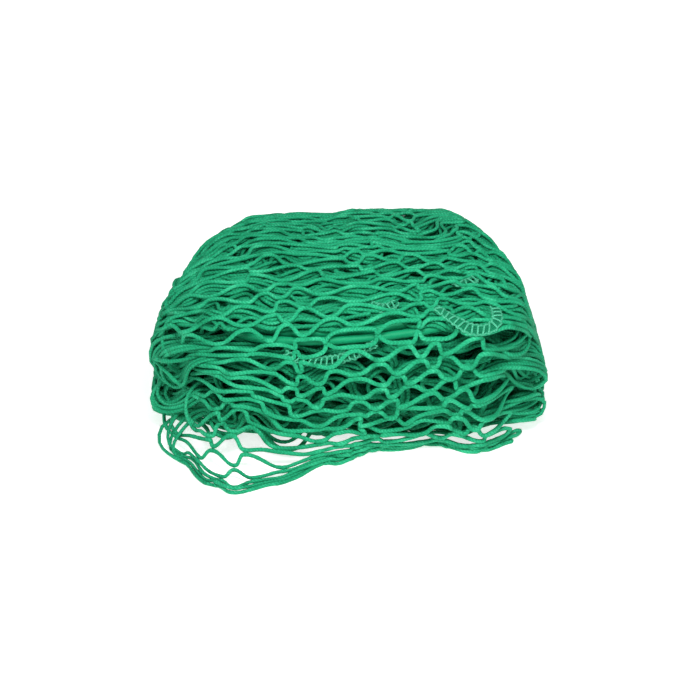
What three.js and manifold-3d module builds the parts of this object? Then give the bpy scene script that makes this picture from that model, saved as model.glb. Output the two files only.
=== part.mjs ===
// A green trailer net, folded back and forth into a bundle that lies on a floor.
// Millimetres, +Z up. X runs along the folds, -Y is the front, and the floor is Z = 0.
// The netting is one sheet: a stack of gathered layers, whose last fold turns over the stack as an open
// cover, comes down the front as an apron and ends in a hem on the floor.
import * as THREE from "three";
import { mergeVertices } from "three/addons/utils/BufferGeometryUtils.js";
import Module from "manifold-3d";

const wasm = await Module();
wasm.setup();

// Driving dimensions
const TWINE = 4.5; // thickness of the slack braided twine
const LAYER = 7; // a gathered layer of netting, nearly two twines deep
const LAYER_GAP = 6; // between the top layer and the cover
const CORD_DIAMETER = 8;
const BAND_WIDTH = 9;
const BAND_THICKNESS = 2.4;
const BAND_CLEARANCE = 0.5; // from the twines it lies on, more than 0.3 where they bend
const HEM_LIFT = 0.8; // the stack carries the bundle, and the light hem only just clears the floor

// The bundle narrows from its middle towards both ends, about this line along X.
const AXIS = { y: 5, z: 60 };
const END_TAPER = { left: 0.5, right: 0.42 };
const TAPER_POWER = 3.5;

// The cover's middle section, from the back over the top to the hem. left and right are its reach along X,
// flare is how far the row follows the hem line, and rows is the number of half meshes to the next station.
const COVER_STATIONS = [
  { place: "back_low", y: 126, z: 58, left: 178, right: 182, flare: 0, rows: 5 },
  { place: "back_middle", y: 133, z: 105, left: 180, right: 184, flare: 0, rows: 6 },
  { place: "back_top", y: 113, z: 154, left: 180, right: 185, flare: 0, rows: 6 },
  { place: "crown", y: 58, z: 164, left: 181, right: 186, flare: 0, rows: 7 },
  { place: "top", y: -6, z: 160, left: 183, right: 187, flare: 0, rows: 6 },
  { place: "shoulder", y: -58, z: 150, left: 185, right: 186, flare: 0, rows: 4 },
  { place: "brow", y: -93, z: 136, left: 188, right: 188, flare: 0, rows: 2 },
  { place: "sill", y: -104, z: 112, left: 189, right: 189, flare: 0, rows: 3 },
  { place: "front", y: -112, z: 78, left: 189, right: 191, flare: 0, rows: 3 },
  { place: "front_low", y: -113, z: 42, left: 187, right: 191, flare: 0.12, rows: 3 },
  { place: "floor_turn", y: -112, z: 15, left: 184, right: 187, flare: 0.55, rows: 3 },
  { place: "hem", y: -112, z: TWINE / 2 + HEM_LIFT, left: 180, right: 181, flare: 1, rows: 0 },
];

// Where the hem lies on the floor: it spills forward at the left and is tucked in at the middle.
const HEM_LINE = [
  { x: -192, y: -58 },
  { x: -160, y: -118 },
  { x: -132, y: -156 },
  { x: -104, y: -170 },
  { x: -65, y: -149 },
  { x: -19, y: -119 },
  { x: 30, y: -101 },
  { x: 80, y: -102 },
  { x: 124, y: -111 },
  { x: 153, y: -85 },
  { x: 192, y: -42 },
];

// The stacked layers, from the floor up. left and right are where the folds turn, front and back the edges.
const LAYERS = [
  { left: -166, right: 167, front: -89, back: 106, phase: 0 },
  { left: -162, right: 168, front: -94, back: 108, phase: 0.3 },
  { left: -166, right: 163, front: -88, back: 109, phase: 0.75 },
  { left: -161, right: 165, front: -93, back: 107, phase: 0.1 },
  { left: -160, right: 159, front: -89, back: 105, phase: 0.55 },
  { left: -157, right: 152, front: -90, back: 97, phase: 0.9 },
  { left: -153, right: 136, front: -97, back: 88, phase: 0.4 },
  { left: -152, right: 124, front: -66, back: 72, phase: 0.15 },
];
const RIPPLE = { height: 1.2, waves: 2.5 };
const LAST_TURN_RUN_ON = 10; // how far the last turn runs on inside the cover

// Mesh lattice of the cover
const COLUMNS = 10; // half meshes across, about 38 mm each
const NODE_WANDER = { along: 5, across: 1.6 }; // how far a mesh joint strays from an even grid
const TWINE_SAG = 2.4; // how far a front twine hangs between two joints
const SWELL = { height: 2.5, waves: [{ length: 31, turn: 0.9 }, { length: 57, turn: -1.7 }] }; // soft lumps

// Routes of two drawcord runs that show between brow and sill, on the last layer but one.
const CORD_FRONT = [
  { x: -130, y: -50, z: 114.9 },
  { x: -117, y: -65, z: 115 },
  { x: -98, y: -79, z: 115.8 },
  { x: -74, y: -86.5, z: 116.7 },
  { x: -46, y: -90, z: 117.5 },
  { x: -16, y: -91.5, z: 117.6 },
  { x: 16, y: -91.5, z: 117.6 },
  { x: 46, y: -89.5, z: 117.7 },
  { x: 74, y: -85.5, z: 117 },
  { x: 97, y: -77, z: 116.2 },
  { x: 113, y: -63, z: 116.1 },
  { x: 121, y: -50, z: 117.3 },
];
const CORD_BACK = [
  { x: -119, y: -41, z: 121.5 },
  { x: -107, y: -56, z: 120.1 },
  { x: -90, y: -70, z: 119.5 },
  { x: -68, y: -78, z: 120 },
  { x: -42, y: -81.5, z: 120.1 },
  { x: -15, y: -83, z: 120 },
  { x: 15, y: -83, z: 120 },
  { x: 42, y: -81, z: 120.3 },
  { x: 68, y: -77, z: 120.1 },
  { x: 89, y: -68.5, z: 119.8 },
  { x: 104, y: -54.5, z: 121 },
  { x: 111, y: -41.5, z: 123.3 },
];

// Lengths of stitched border that show, by place on the cover. side is 1 over the twines, -1 under them.
const BANDS = [
  {
    name: "stitched_edge_corner",
    side: 1,
    route: [
      { share: 0.43, station: 5.56 },
      { share: 0.48, station: 5.78 },
      { share: 0.53, station: 6.02 },
      { share: 0.59, station: 6.22 },
      { share: 0.66, station: 6.26 },
      { share: 0.72, station: 6.02 },
      { share: 0.735, station: 5.5 },
      { share: 0.71, station: 5.05 },
    ],
  },
  {
    name: "stitched_edge_crest",
    side: 1,
    route: [
      { share: 0.53, station: 4.64 },
      { share: 0.58, station: 4.74 },
      { share: 0.62, station: 4.68 },
      { share: 0.66, station: 4.46 },
    ],
  },
  {
    name: "stitched_edge_brow",
    side: 1,
    route: [
      { share: 0.1, station: 5.28 },
      { share: 0.14, station: 5.42 },
      { share: 0.19, station: 5.44 },
      { share: 0.24, station: 5.24 },
    ],
  },
  {
    name: "stitched_edge_sill",
    side: -1,
    route: [
      { share: -0.32, station: 6.94 },
      { share: -0.26, station: 7.12 },
      { share: -0.18, station: 7.24 },
      { share: -0.09, station: 7.26 },
      { share: -0.02, station: 7.16 },
      { share: 0.06, station: 6.98 },
      { share: 0.13, station: 6.78 },
    ],
  },
];

const MATERIALS = {
  netting: new THREE.MeshStandardMaterial({ color: 0x26a06e, roughness: 0.75, metalness: 0 }),
  cord: new THREE.MeshStandardMaterial({ color: 0x1c9463, roughness: 0.45, metalness: 0 }),
  stitching: new THREE.MeshStandardMaterial({ color: 0x6fd3a8, roughness: 0.7, metalness: 0 }),
};

// A value between table rows, eased so that it passes each row smoothly.
function between(rows, key, at, column) {
  const last = rows.length - 1;
  const found = rows.findIndex((row) => row[key] >= at);
  if (found === 0) return rows[0][column];
  if (found === -1) return rows[last][column];
  const [a, b] = [rows[found - 1], rows[found]];
  const share = THREE.MathUtils.smoothstep(at, a[key], b[key]);
  return THREE.MathUtils.lerp(a[column], b[column], share);
}

// A station table's column at a whole or part station number.
function atStation(station, column) {
  const low = Math.min(Math.floor(station), COVER_STATIONS.length - 2);
  return THREE.MathUtils.lerp(COVER_STATIONS[low][column], COVER_STATIONS[low + 1][column], station - low);
}

// The bundle's size at a share of its half length, 1 at the middle.
function taper(share) {
  const end = share < 0 ? END_TAPER.left : END_TAPER.right;
  return 1 - (1 - end) * Math.abs(share) ** TAPER_POWER;
}

const LAST_STATION = COVER_STATIONS.length - 1;
const stationNumber = (name) => COVER_STATIONS.findIndex(({ place }) => place === name);
const TOP = COVER_STATIONS[stationNumber("top")];
const HALF_LENGTH = TOP.left;
const section = new THREE.SplineCurve(COVER_STATIONS.map(({ y, z }) => new THREE.Vector2(y, z)));

// A point of the cover's middle surface: share is -1 to 1 across, station runs from the back to the hem.
function coverPoint(share, station) {
  const middle = section.getPoint(station / LAST_STATION);
  const size = taper(share);
  const x = share * atStation(station, share < 0 ? "left" : "right");
  const y = AXIS.y + size * (middle.x - AXIS.y);
  const z = AXIS.z + (middle.y > AXIS.z ? size : 1) * (middle.y - AXIS.z);
  const flare = atStation(station, "flare");
  const onFloor = between(HEM_LINE, "x", x, "y");
  const swell = SWELL.height * (1 - flare) * SWELL.waves.reduce(
    (product, { length, turn }) => product * Math.sin(x / length + station * turn),
    1,
  );
  return new THREE.Vector3(x, THREE.MathUtils.lerp(y, onFloor, flare) - swell, z + swell / 2);
}

// The cover's outward direction, from two short steps on it.
function coverNormal(share, station) {
  const step = 0.02;
  const [left, right] = [Math.max(share - step, -1), Math.min(share + step, 1)];
  const [above, below] = [Math.max(station - step, 0), Math.min(station + step, LAST_STATION)];
  const across = coverPoint(right, station).sub(coverPoint(left, station));
  const down = coverPoint(share, below).sub(coverPoint(share, above));
  return down.cross(across).normalize();
}

// Height of the cover over a place on its top, found by halving between the back and the brow.
function coverHeight(x, y) {
  const size = taper(x / (x < 0 ? TOP.left : TOP.right));
  const middleY = AXIS.y + (y - AXIS.y) / size;
  const closeEnough = 1e-6;
  let [low, high] = [stationNumber("back_top"), stationNumber("brow")];
  while (high - low > closeEnough) {
    const half = (low + high) / 2;
    if (section.getPoint(half / LAST_STATION).x > middleY) low = half;
    else high = half;
  }
  return AXIS.z + size * (section.getPoint(low / LAST_STATION).y - AXIS.z);
}

// The middle of a stacked layer, which rises towards the crown and ripples from front to back.
function layerPoint(index, x, share) {
  const { front, back, phase } = LAYERS[index];
  const size = taper(x / HALF_LENGTH);
  const y = AXIS.y + size * (THREE.MathUtils.lerp(front, back, share) - AXIS.y);
  const roof = coverHeight(x, y) - TWINE / 2 - LAYER_GAP - LAYER / 2;
  const rise = index / (LAYERS.length - 1);
  const ripple = index === 0 ? 0 : RIPPLE.height * Math.sin(2 * Math.PI * (RIPPLE.waves * share + phase));
  return new THREE.Vector3(x, y, LAYER / 2 + rise * (roof - LAYER / 2) + ripple);
}

// Collects a closed surface's points and faces.
class Shell {
  constructor() {
    this.points = [];
    this.faces = [];
  }
  point(p) {
    this.points.push(p.x, p.y, Math.max(0, p.z));
    return this.points.length / 3 - 1;
  }
  quad(a, b, c, d) {
    this.faces.push(a, b, c, a, c, d);
  }
  geometry() {
    const made = new THREE.BufferGeometry();
    made.setAttribute("position", new THREE.BufferAttribute(new Float32Array(this.points), 3));
    made.setIndex(this.faces);
    return made;
  }
}

// A sheet of even thickness on a grid of middle points, closed round its rim.
function thickSheet(grid, thickness) {
  const shell = new Shell();
  const [rows, columns] = [grid.length, grid[0].length];
  const clamp = (value, size) => THREE.MathUtils.clamp(value, 0, size - 1);
  const at = (r, c) => grid[clamp(r, rows)][clamp(c, columns)];
  const sides = grid.map((row, r) =>
    row.map((p, c) => {
      const along = at(r + 1, c).clone().sub(at(r - 1, c));
      const across = at(r, c + 1).clone().sub(at(r, c - 1));
      const out = along.cross(across).normalize().multiplyScalar(thickness / 2);
      return [shell.point(p.clone().add(out)), shell.point(p.clone().sub(out))];
    }),
  );
  const wall = ([a0, a1], [b0, b1]) => shell.quad(a0, a1, b1, b0);
  for (let r = 0; r < rows - 1; r++) {
    for (let c = 0; c < columns - 1; c++) {
      const [a, b, d, e] = [sides[r][c], sides[r + 1][c], sides[r + 1][c + 1], sides[r][c + 1]];
      shell.quad(a[0], b[0], d[0], e[0]);
      shell.quad(e[1], d[1], b[1], a[1]);
    }
    wall(sides[r][0], sides[r + 1][0]);
    wall(sides[r + 1][columns - 1], sides[r][columns - 1]);
  }
  for (let c = 0; c < columns - 1; c++) {
    wall(sides[0][c + 1], sides[0][c]);
    wall(sides[rows - 1][c], sides[rows - 1][c + 1]);
  }
  return shell.geometry();
}

// The stack: each layer runs from one end to the other and turns round into the next one.
function stackGeometry() {
  const straightSteps = 8;
  const turnSteps = 4;
  const edgeSteps = 6;
  const shares = Array.from({ length: edgeSteps + 1 }, (_, k) => k / edgeSteps);
  const grid = [];
  LAYERS.forEach((layer, index) => {
    const [from, to] = index % 2 ? [layer.right, layer.left] : [layer.left, layer.right];
    for (let k = 0; k <= straightSteps; k++) {
      const x = THREE.MathUtils.lerp(from, to, k / straightSteps);
      grid.push(shares.map((share) => layerPoint(index, x, share)));
    }
    grid.push(...turnRows(index, to, shares, turnSteps));
  });
  return thickSheet(grid, LAYER);
}

// The half round at a layer's end. The last one turns into the cover and runs on inside it.
function turnRows(index, x, shares, steps) {
  const outward = Math.sign(x);
  const lastTurn = index === LAYERS.length - 1;
  const nextX = lastTurn ? x : LAYERS[index + 1][outward < 0 ? "left" : "right"];
  const rows = [];
  for (let k = 1; k < steps + (lastTurn ? 2 : 0); k++) {
    const angle = Math.PI * Math.min(k / steps, 1);
    const runOn = k > steps ? LAST_TURN_RUN_ON : 0;
    const place = (1 - Math.cos(angle)) / 2;
    rows.push(
      shares.map((share) => {
        const start = layerPoint(index, x, share);
        const end = lastTurn ? intoCover(nextX, start.y) : layerPoint(index + 1, nextX, share);
        const reach = Math.abs(end.z - start.z) / 2;
        const made = start.lerp(end, place);
        made.x += outward * (reach * Math.sin(angle) - runOn);
        return made;
      }),
    );
  }
  return rows;
}

function intoCover(x, y) {
  return new THREE.Vector3(x, y, coverHeight(x, y) - TWINE / 4);
}

// A repeatable stray between -1 and 1 for a mesh joint.
function stray(column, row, seed) {
  const wave = Math.sin(column * 12.9898 + row * 78.233 + seed * 37.719) * 43758.5453;
  return 2 * (wave - Math.floor(wave)) - 1;
}

// Station numbers of the cover's lattice rows.
const ROW_STATIONS = COVER_STATIONS.flatMap(({ rows }, index) =>
  Array.from({ length: rows }, (_, k) => index + k / rows),
).concat(LAST_STATION);
const LAST_ROW = ROW_STATIONS.length - 1;
const FIRST_SAGGING_ROW = ROW_STATIONS.indexOf(stationNumber("brow"));

// Millimetres down the middle section for a station number, and back.
const SECTION_STEPS = 400;
const SECTION_LENGTHS = section.getLengths(SECTION_STEPS);
const SECTION_LENGTH = SECTION_LENGTHS[SECTION_STEPS];

function stationToLength(station) {
  return SECTION_LENGTHS[Math.round((station / LAST_STATION) * SECTION_STEPS)];
}

function lengthToStation(length) {
  const found = SECTION_LENGTHS.findIndex((reached) => reached >= length);
  const high = length >= SECTION_LENGTH ? SECTION_STEPS : Math.max(1, found);
  const [a, b] = [SECTION_LENGTHS[high - 1], SECTION_LENGTHS[high]];
  const steps = high - 1 + THREE.MathUtils.clamp((length - a) / (b - a), 0, 1);
  return (steps / SECTION_STEPS) * LAST_STATION;
}

// The open cover: twines half a mesh wide round every diamond, on a lattice of joints.
// Flat places (across, down) are in millimetres and are bent onto the cover at the end.
function coverGeometry() {
  const shell = new Shell();
  const made = new Map();

  const joint = (i, j) => {
    const edge = i === 0 || i === COLUMNS || j === 0 || j === LAST_ROW;
    const wander = edge ? 0 : 1;
    return new THREE.Vector2(
      (2 * i / COLUMNS - 1) * HALF_LENGTH + wander * NODE_WANDER.along * stray(i, j, 1),
      stationToLength(ROW_STATIONS[j]) + wander * NODE_WANDER.across * stray(i, j, 2),
    );
  };
  const bend = (key, flat) => {
    if (!made.has(key)) {
      const share = flat.x / HALF_LENGTH;
      const station = lengthToStation(THREE.MathUtils.clamp(flat.y, 0, SECTION_LENGTH));
      const middle = coverPoint(share, station);
      const out = coverNormal(share, station).multiplyScalar(TWINE / 2);
      made.set(key, [shell.point(middle.clone().add(out)), shell.point(middle.clone().sub(out))]);
    }
    return made.get(key);
  };
  const jointKey = (i, j) => `joint ${i} ${j}`;

  // The loop of flat places round a mesh, sagging between joints at the front. Beyond an edge it has gaps.
  const ring = (i, j) => {
    const corners = [[i - 1, j], [i, j - 1], [i + 1, j], [i, j + 1]];
    const inside = ([a, b]) => a >= 0 && a <= COLUMNS && b >= 0 && b <= LAST_ROW;
    const places = [];
    corners.forEach((corner, k) => {
      const next = corners[(k + 1) % 4];
      if (inside(corner)) places.push({ key: jointKey(...corner), flat: joint(...corner), corner });
      else places.push(null);
      const sagging = Math.min(corner[1], next[1]) >= FIRST_SAGGING_ROW;
      if (sagging && inside(corner) && inside(next)) {
        const [p, q] = [corner, next].sort((a, b) => a[0] - b[0] || a[1] - b[1]);
        const flat = joint(...p).lerp(joint(...q), 0.5);
        flat.y += TWINE_SAG * (1 + stray(p[0] + q[0], p[1] + q[1], 3)) * 0.5;
        places.push({ key: `sag ${p} ${q}`, flat });
      }
    });
    return places;
  };

  // A place moved inwards from its two twines by half a twine.
  const inset = (before, here, after) => {
    const a = here.clone().sub(before).normalize();
    const b = after.clone().sub(here).normalize();
    const toMiddle = new THREE.Vector2(-a.y - b.y, a.x + b.x).normalize();
    const across = Math.max(0.2, new THREE.Vector2(-a.y, a.x).dot(toMiddle));
    return here.clone().addScaledVector(toMiddle, TWINE / 2 / across);
  };

  // The tip of a joint on the cover's edge, half a twine beyond it.
  const tip = ({ corner: [i, j], flat }) => {
    const out = new THREE.Vector2((i === COLUMNS) - (i === 0), (j === LAST_ROW) - (j === 0));
    return bend(`tip ${i} ${j}`, flat.clone().addScaledVector(out.normalize(), TWINE / 2));
  };

  for (let j = 0; j <= LAST_ROW; j++) {
    for (let i = 0; i <= COLUMNS; i++) {
      if ((i + j) % 2 === 0) continue;
      let places = ring(i, j);
      const open = places.indexOf(null);
      if (open >= 0) places = [...places.slice(open + 1), ...places.slice(0, open)];
      if (places.includes(null)) continue;
      const count = places.length;
      const inner = places.map((place, k) => {
        if (open >= 0 && (k === 0 || k === count - 1)) return tip(place);
        const [before, after] = [places[(k + count - 1) % count], places[(k + 1) % count]];
        return bend(`inset ${i} ${j} ${k}`, inset(before.flat, place.flat, after.flat));
      });
      const outer = places.map(({ key, flat }) => bend(key, flat));
      for (let k = 0; k < count - (open >= 0 ? 1 : 0); k++) {
        const next = (k + 1) % count;
        shell.quad(outer[k][0], inner[k][0], inner[next][0], outer[next][0]);
        shell.quad(outer[next][1], inner[next][1], inner[k][1], outer[k][1]);
        shell.quad(inner[k][0], inner[k][1], inner[next][1], inner[next][0]);
      }
    }
  }
  return shell.geometry();
}

// A three.js geometry as a manifold solid, and back.
function toSolid(geometry) {
  const bare = new THREE.BufferGeometry().setAttribute("position", geometry.getAttribute("position"));
  bare.setIndex(geometry.getIndex());
  const merged = mergeVertices(bare, 1e-4);
  return new wasm.Manifold(
    new wasm.Mesh({
      numProp: 3,
      vertProperties: new Float32Array(merged.attributes.position.array),
      triVerts: new Uint32Array(merged.index.array),
    }),
  );
}

function toGeometry(solid) {
  const mesh = solid.getMesh();
  const made = new THREE.BufferGeometry();
  made.setAttribute("position", new THREE.BufferAttribute(mesh.vertProperties, 3));
  made.setIndex(new THREE.BufferAttribute(mesh.triVerts, 1));
  made.computeVertexNormals();
  return made;
}

function nettingMesh() {
  const whole = toSolid(stackGeometry()).add(toSolid(coverGeometry()));
  return named("net_panel", toGeometry(whole), MATERIALS.netting);
}

// One run of the smooth drawcord, tucked in between two layers at both ends.
function cordMesh(name, rows) {
  const route = rows.map(({ x, y, z }) => new THREE.Vector3(x, y, z));
  const path = new THREE.CatmullRomCurve3(route);
  const outline = new THREE.Shape().absarc(0, 0, CORD_DIAMETER / 2, 0, 2 * Math.PI);
  const steps = Math.round(path.getLength() / (2.5 * CORD_DIAMETER));
  const options = { steps, curveSegments: 10, bevelEnabled: false, extrudePath: path };
  return named(name, new THREE.ExtrudeGeometry(outline, options), MATERIALS.cord);
}

// A length of stitched border, bent to lie on the cover or under it.
function bandMesh({ name, side, route }) {
  const flatten = ({ share, station }) => new THREE.Vector2(share * HALF_LENGTH, stationToLength(station));
  const path = new THREE.SplineCurve(route.map(flatten));
  const steps = 3 * (route.length - 1);
  const off = side * (TWINE / 2 + BAND_CLEARANCE + BAND_THICKNESS / 2);
  const grid = path.getPoints(steps).map((middle, k) => {
    const along = path.getTangent(k / steps);
    const across = new THREE.Vector2(-along.y, along.x);
    return [-0.5, 0, 0.5].map((part) => {
      const place = middle.clone().addScaledVector(across, part * BAND_WIDTH);
      const [share, station] = [place.x / HALF_LENGTH, lengthToStation(place.y)];
      return coverPoint(share, station).addScaledVector(coverNormal(share, station), off);
    });
  });
  return named(name, thickSheet(grid, BAND_THICKNESS), MATERIALS.stitching);
}

function named(name, geometry, material) {
  const mesh = new THREE.Mesh(geometry, material);
  mesh.name = name;
  return mesh;
}

const net = new THREE.Group();
net.add(nettingMesh());
net.add(cordMesh("draw_cord_front", CORD_FRONT));
net.add(cordMesh("draw_cord_back", CORD_BACK));
net.add(...BANDS.map(bandMesh));

// The origin is under the middle of the whole bundle.
const whole = new THREE.Box3().setFromObject(net);
net.position.set(-(whole.min.x + whole.max.x) / 2, -(whole.min.y + whole.max.y) / 2, -whole.min.z);

export default net;
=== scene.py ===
# %% [markdown]
# # A folded trailer net
# The object is a knotless net of slack, braided twine. It has been gathered and folded back and
# forth in a stack of layers, and its last folds are turned over the stack and hang down the front
# like an apron.
# Netting has no surface to model: it is all twine. So the twine itself is laid out, strand by
# strand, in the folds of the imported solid, and then a small simulation lets the strands push each
# other aside and bow.

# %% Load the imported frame
import math

import bmesh
import bpy
import numpy as np
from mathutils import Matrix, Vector


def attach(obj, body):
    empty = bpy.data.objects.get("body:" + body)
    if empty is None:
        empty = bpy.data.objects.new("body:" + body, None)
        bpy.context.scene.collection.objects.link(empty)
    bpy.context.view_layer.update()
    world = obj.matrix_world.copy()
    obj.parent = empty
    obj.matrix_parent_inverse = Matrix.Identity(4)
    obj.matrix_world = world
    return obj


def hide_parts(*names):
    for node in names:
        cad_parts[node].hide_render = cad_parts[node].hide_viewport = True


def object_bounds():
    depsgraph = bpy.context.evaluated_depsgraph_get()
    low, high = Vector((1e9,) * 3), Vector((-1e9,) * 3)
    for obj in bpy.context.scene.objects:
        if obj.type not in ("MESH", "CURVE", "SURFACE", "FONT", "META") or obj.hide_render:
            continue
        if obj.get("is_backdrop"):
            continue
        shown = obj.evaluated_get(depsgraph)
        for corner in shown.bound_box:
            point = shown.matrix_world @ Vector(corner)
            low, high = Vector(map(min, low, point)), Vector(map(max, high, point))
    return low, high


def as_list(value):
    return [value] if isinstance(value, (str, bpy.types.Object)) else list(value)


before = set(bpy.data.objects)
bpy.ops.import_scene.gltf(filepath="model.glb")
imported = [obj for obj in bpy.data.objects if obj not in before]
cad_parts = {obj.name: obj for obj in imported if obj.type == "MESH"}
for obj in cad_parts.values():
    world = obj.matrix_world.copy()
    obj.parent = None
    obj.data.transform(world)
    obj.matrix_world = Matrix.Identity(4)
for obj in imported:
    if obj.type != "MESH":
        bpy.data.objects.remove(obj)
cad_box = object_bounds()
print("nodes:", sorted(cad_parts))

# %% [markdown]
# All sizes below are millimetres, measured from the middle of the stack on the floor. The frame's
# zero is under the middle of the whole bundle, hem and all, so every finished point is shifted by
# ORIGIN and turned into metres.

# %% From the drawing to the scene
MM = 0.001
ORIGIN = np.array([-1.0408, 16.0357, 0.0])


def to_scene(points):
    """Drawing points in millimetres as scene points in metres."""
    return (np.asarray(points, dtype=float) + ORIGIN) * MM


print("the drawing's zero in the scene:", to_scene((0, 0, 0)).round(4))

# %% [markdown]
# The camera comes first, because it decides how large everything looks. It looks 30 degrees down
# from the front, from 1.6 m away with a long lens, which gives the mild perspective of a product
# picture. The lens is chosen so that one pixel is about a millimetre at the bundle.
# Two helpers are used again for the floor, the lights and the twine: one links new data to the
# scene, and the other turns an object to look along a direction.

# %% Camera
PICTURE_WIDTH = 700
SENSOR_WIDTH = 36.0
CAMERA = {"elevation": 30.0, "distance": 1600.0, "aim": (0.0, 0.0, 55.0)}


def add_object(name, data):
    made = bpy.data.objects.new(name, data)
    bpy.context.scene.collection.objects.link(made)
    return made


def look_along(made, direction):
    made.rotation_euler = Vector(direction).to_track_quat("-Z", "Y").to_euler()


def make_camera():
    data = bpy.data.cameras.new("camera")
    data.sensor_width = SENSOR_WIDTH
    data.lens = data.sensor_width * CAMERA["distance"] / PICTURE_WIDTH
    camera = add_object("camera", data)
    angle = math.radians(CAMERA["elevation"])
    away = Vector((0.0, -math.cos(angle), math.sin(angle))) * CAMERA["distance"] * MM
    camera.location = Vector(to_scene(CAMERA["aim"])) + away
    look_along(camera, -away)
    bpy.context.scene.camera = camera
    return camera


camera = make_camera()
print("camera at", [round(x, 3) for x in camera.location])

# %% [markdown]
# Every cord and twine starts as a few points. A straight run from point to point would show
# corners, so the points are joined by cubic pieces that share their slopes. A curve object does
# the same, but here the points in between are needed as arrays, to be measured and pushed about.

# %% Smooth lines


def unit(v):
    return v / np.maximum(np.linalg.norm(v, axis=-1, keepdims=True), 1e-12)


def step_lengths(lines):
    """Length of each step of one line, or of many lines at once."""
    return np.linalg.norm(np.diff(lines, axis=-2), axis=-1)


def length_along(line):
    """Length from a line's start to each of its points."""
    return np.concatenate([[0.0], np.cumsum(step_lengths(line))])


def smooth_line(points, steps):
    """A line through points, with a number of steps between each two."""
    points = np.asarray(points, dtype=float)
    before = 2 * points[..., :1, :] - points[..., 1:2, :]
    after = 2 * points[..., -1:, :] - points[..., -2:-1, :]
    padded = np.concatenate([before, points, after], axis=-2)
    a, b, c, d = (padded[..., k : padded.shape[-2] - 3 + k, None, :] for k in range(4))
    t = (np.arange(steps) / steps)[:, None]
    piece = b + 0.5 * t * (c - a + t * (2 * a - 5 * b + 4 * c - d + t * (3 * (b - c) + d - a)))
    joined = piece.reshape(*points.shape[:-2], -1, 3)
    return np.concatenate([joined, points[..., -1:, :]], axis=-2)


corner = smooth_line([(0, 0, 0), (10, 0, 0), (10, 10, 0)], 8)
print(f"a corner of 20 mm, smoothed: {len(corner)} points, {length_along(corner)[-1]:.1f} mm")

# %% [markdown]
# Twine, cord and stitching thread are all round and long, so one helper sweeps them: a ring of
# points is carried along each line without twisting, and the rings are joined into tubes with
# closed ends. Hundreds of long tubes would be slow to extrude with bmesh, ring by ring, so the
# rings of all lines are worked out at once. Each face also learns its place, round the twine as a
# share of a turn and along it in millimetres, because the braid of the finish follows the twine.

# %% Rings and faces of many tubes
STEEP = 0.8  # a line that rises more than this needs another helper direction


def carried_frames(lines):
    """Two directions across each line at every point, carried along it without twisting."""
    along = unit(np.gradient(lines, axis=1))
    side = np.empty_like(along)
    helper = np.where(np.abs(along[:, 0, 2:3]) < STEEP, [[0.0, 0.0, 1.0]], [[0.0, 1.0, 0.0]])
    side[:, 0] = unit(np.cross(along[:, 0], helper))
    for k in range(1, lines.shape[1]):
        before = side[:, k - 1]
        now = along[:, k]
        side[:, k] = unit(before - now * np.sum(before * now, axis=1, keepdims=True))
    return side, np.cross(along, side)


def tube_arrays(lines, radius, sides):
    """Points, quads, end faces and (round, along) places of tubes along many lines at once."""
    count, length = lines.shape[:2]
    side, up = (v[:, :, None, :] for v in carried_frames(lines))
    angle = 2 * math.pi * np.arange(sides) / sides
    ring = np.cos(angle)[:, None] * side + np.sin(angle)[:, None] * up
    radius = np.broadcast_to(radius, (count, length))[:, :, None, None]
    points = lines[:, :, None, :] + ring * radius
    reach = np.concatenate([np.zeros((count, 1)), np.cumsum(step_lengths(lines), axis=1)], axis=1)
    number = np.arange(count * length * sides).reshape(count, length, sides)
    turned = np.roll(number, -1, axis=2)
    quads = np.stack([number[:, :-1], turned[:, :-1], turned[:, 1:], number[:, 1:]], axis=-1)
    around = (np.arange(sides + 1) / sides)[np.arange(sides)[:, None] + [0, 1, 1, 0]]
    along = np.stack([reach[:, :-1], reach[:, :-1], reach[:, 1:], reach[:, 1:]], axis=-1)
    places = np.broadcast_arrays(around[None, None], along[:, :, None, :])
    ends = np.concatenate([number[:, 0, ::-1], number[:, -1]])
    places = np.stack(places, axis=-1).reshape(-1, 4, 2)
    return points.reshape(-1, 3), quads.reshape(-1, 4), ends, places


points, quads, ends, _ = tube_arrays(corner[None], 1.0, 6)
print(f"a tube round that corner: {len(points)} points, {len(quads)} quads, {len(ends)} ends")

# %% [markdown]
# A piece often holds several kinds of tube, such as the core and the rungs of the stitching. Their
# arrays are put one after the other into a single mesh. Besides the UV map, the mesh carries an
# attribute with the shade of the twine, which the finish reads.

# %% One mesh object from many tubes
PLAIN_SHADE = 0.5


def gather_tubes(groups):
    """Arrays of all tubes, from groups that are dicts of lines, radius, sides and shade."""
    points, quads, ends, places, shades = [], [], [], [], []
    start = 0
    for group in groups:
        p, q, e, uv = tube_arrays(group["lines"], group["radius"], group["sides"])
        points.append(p)
        quads.append(q + start)
        ends.extend(list(e + start))
        places.append(uv)
        shade = np.broadcast_to(group.get("shade", PLAIN_SHADE), group["lines"].shape[:2])
        shades.append(np.repeat(shade.reshape(-1), group["sides"]))
        start += len(p)
    points, quads, places, shades = map(np.concatenate, (points, quads, places, shades))
    return points, quads, ends, places, shades


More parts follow.
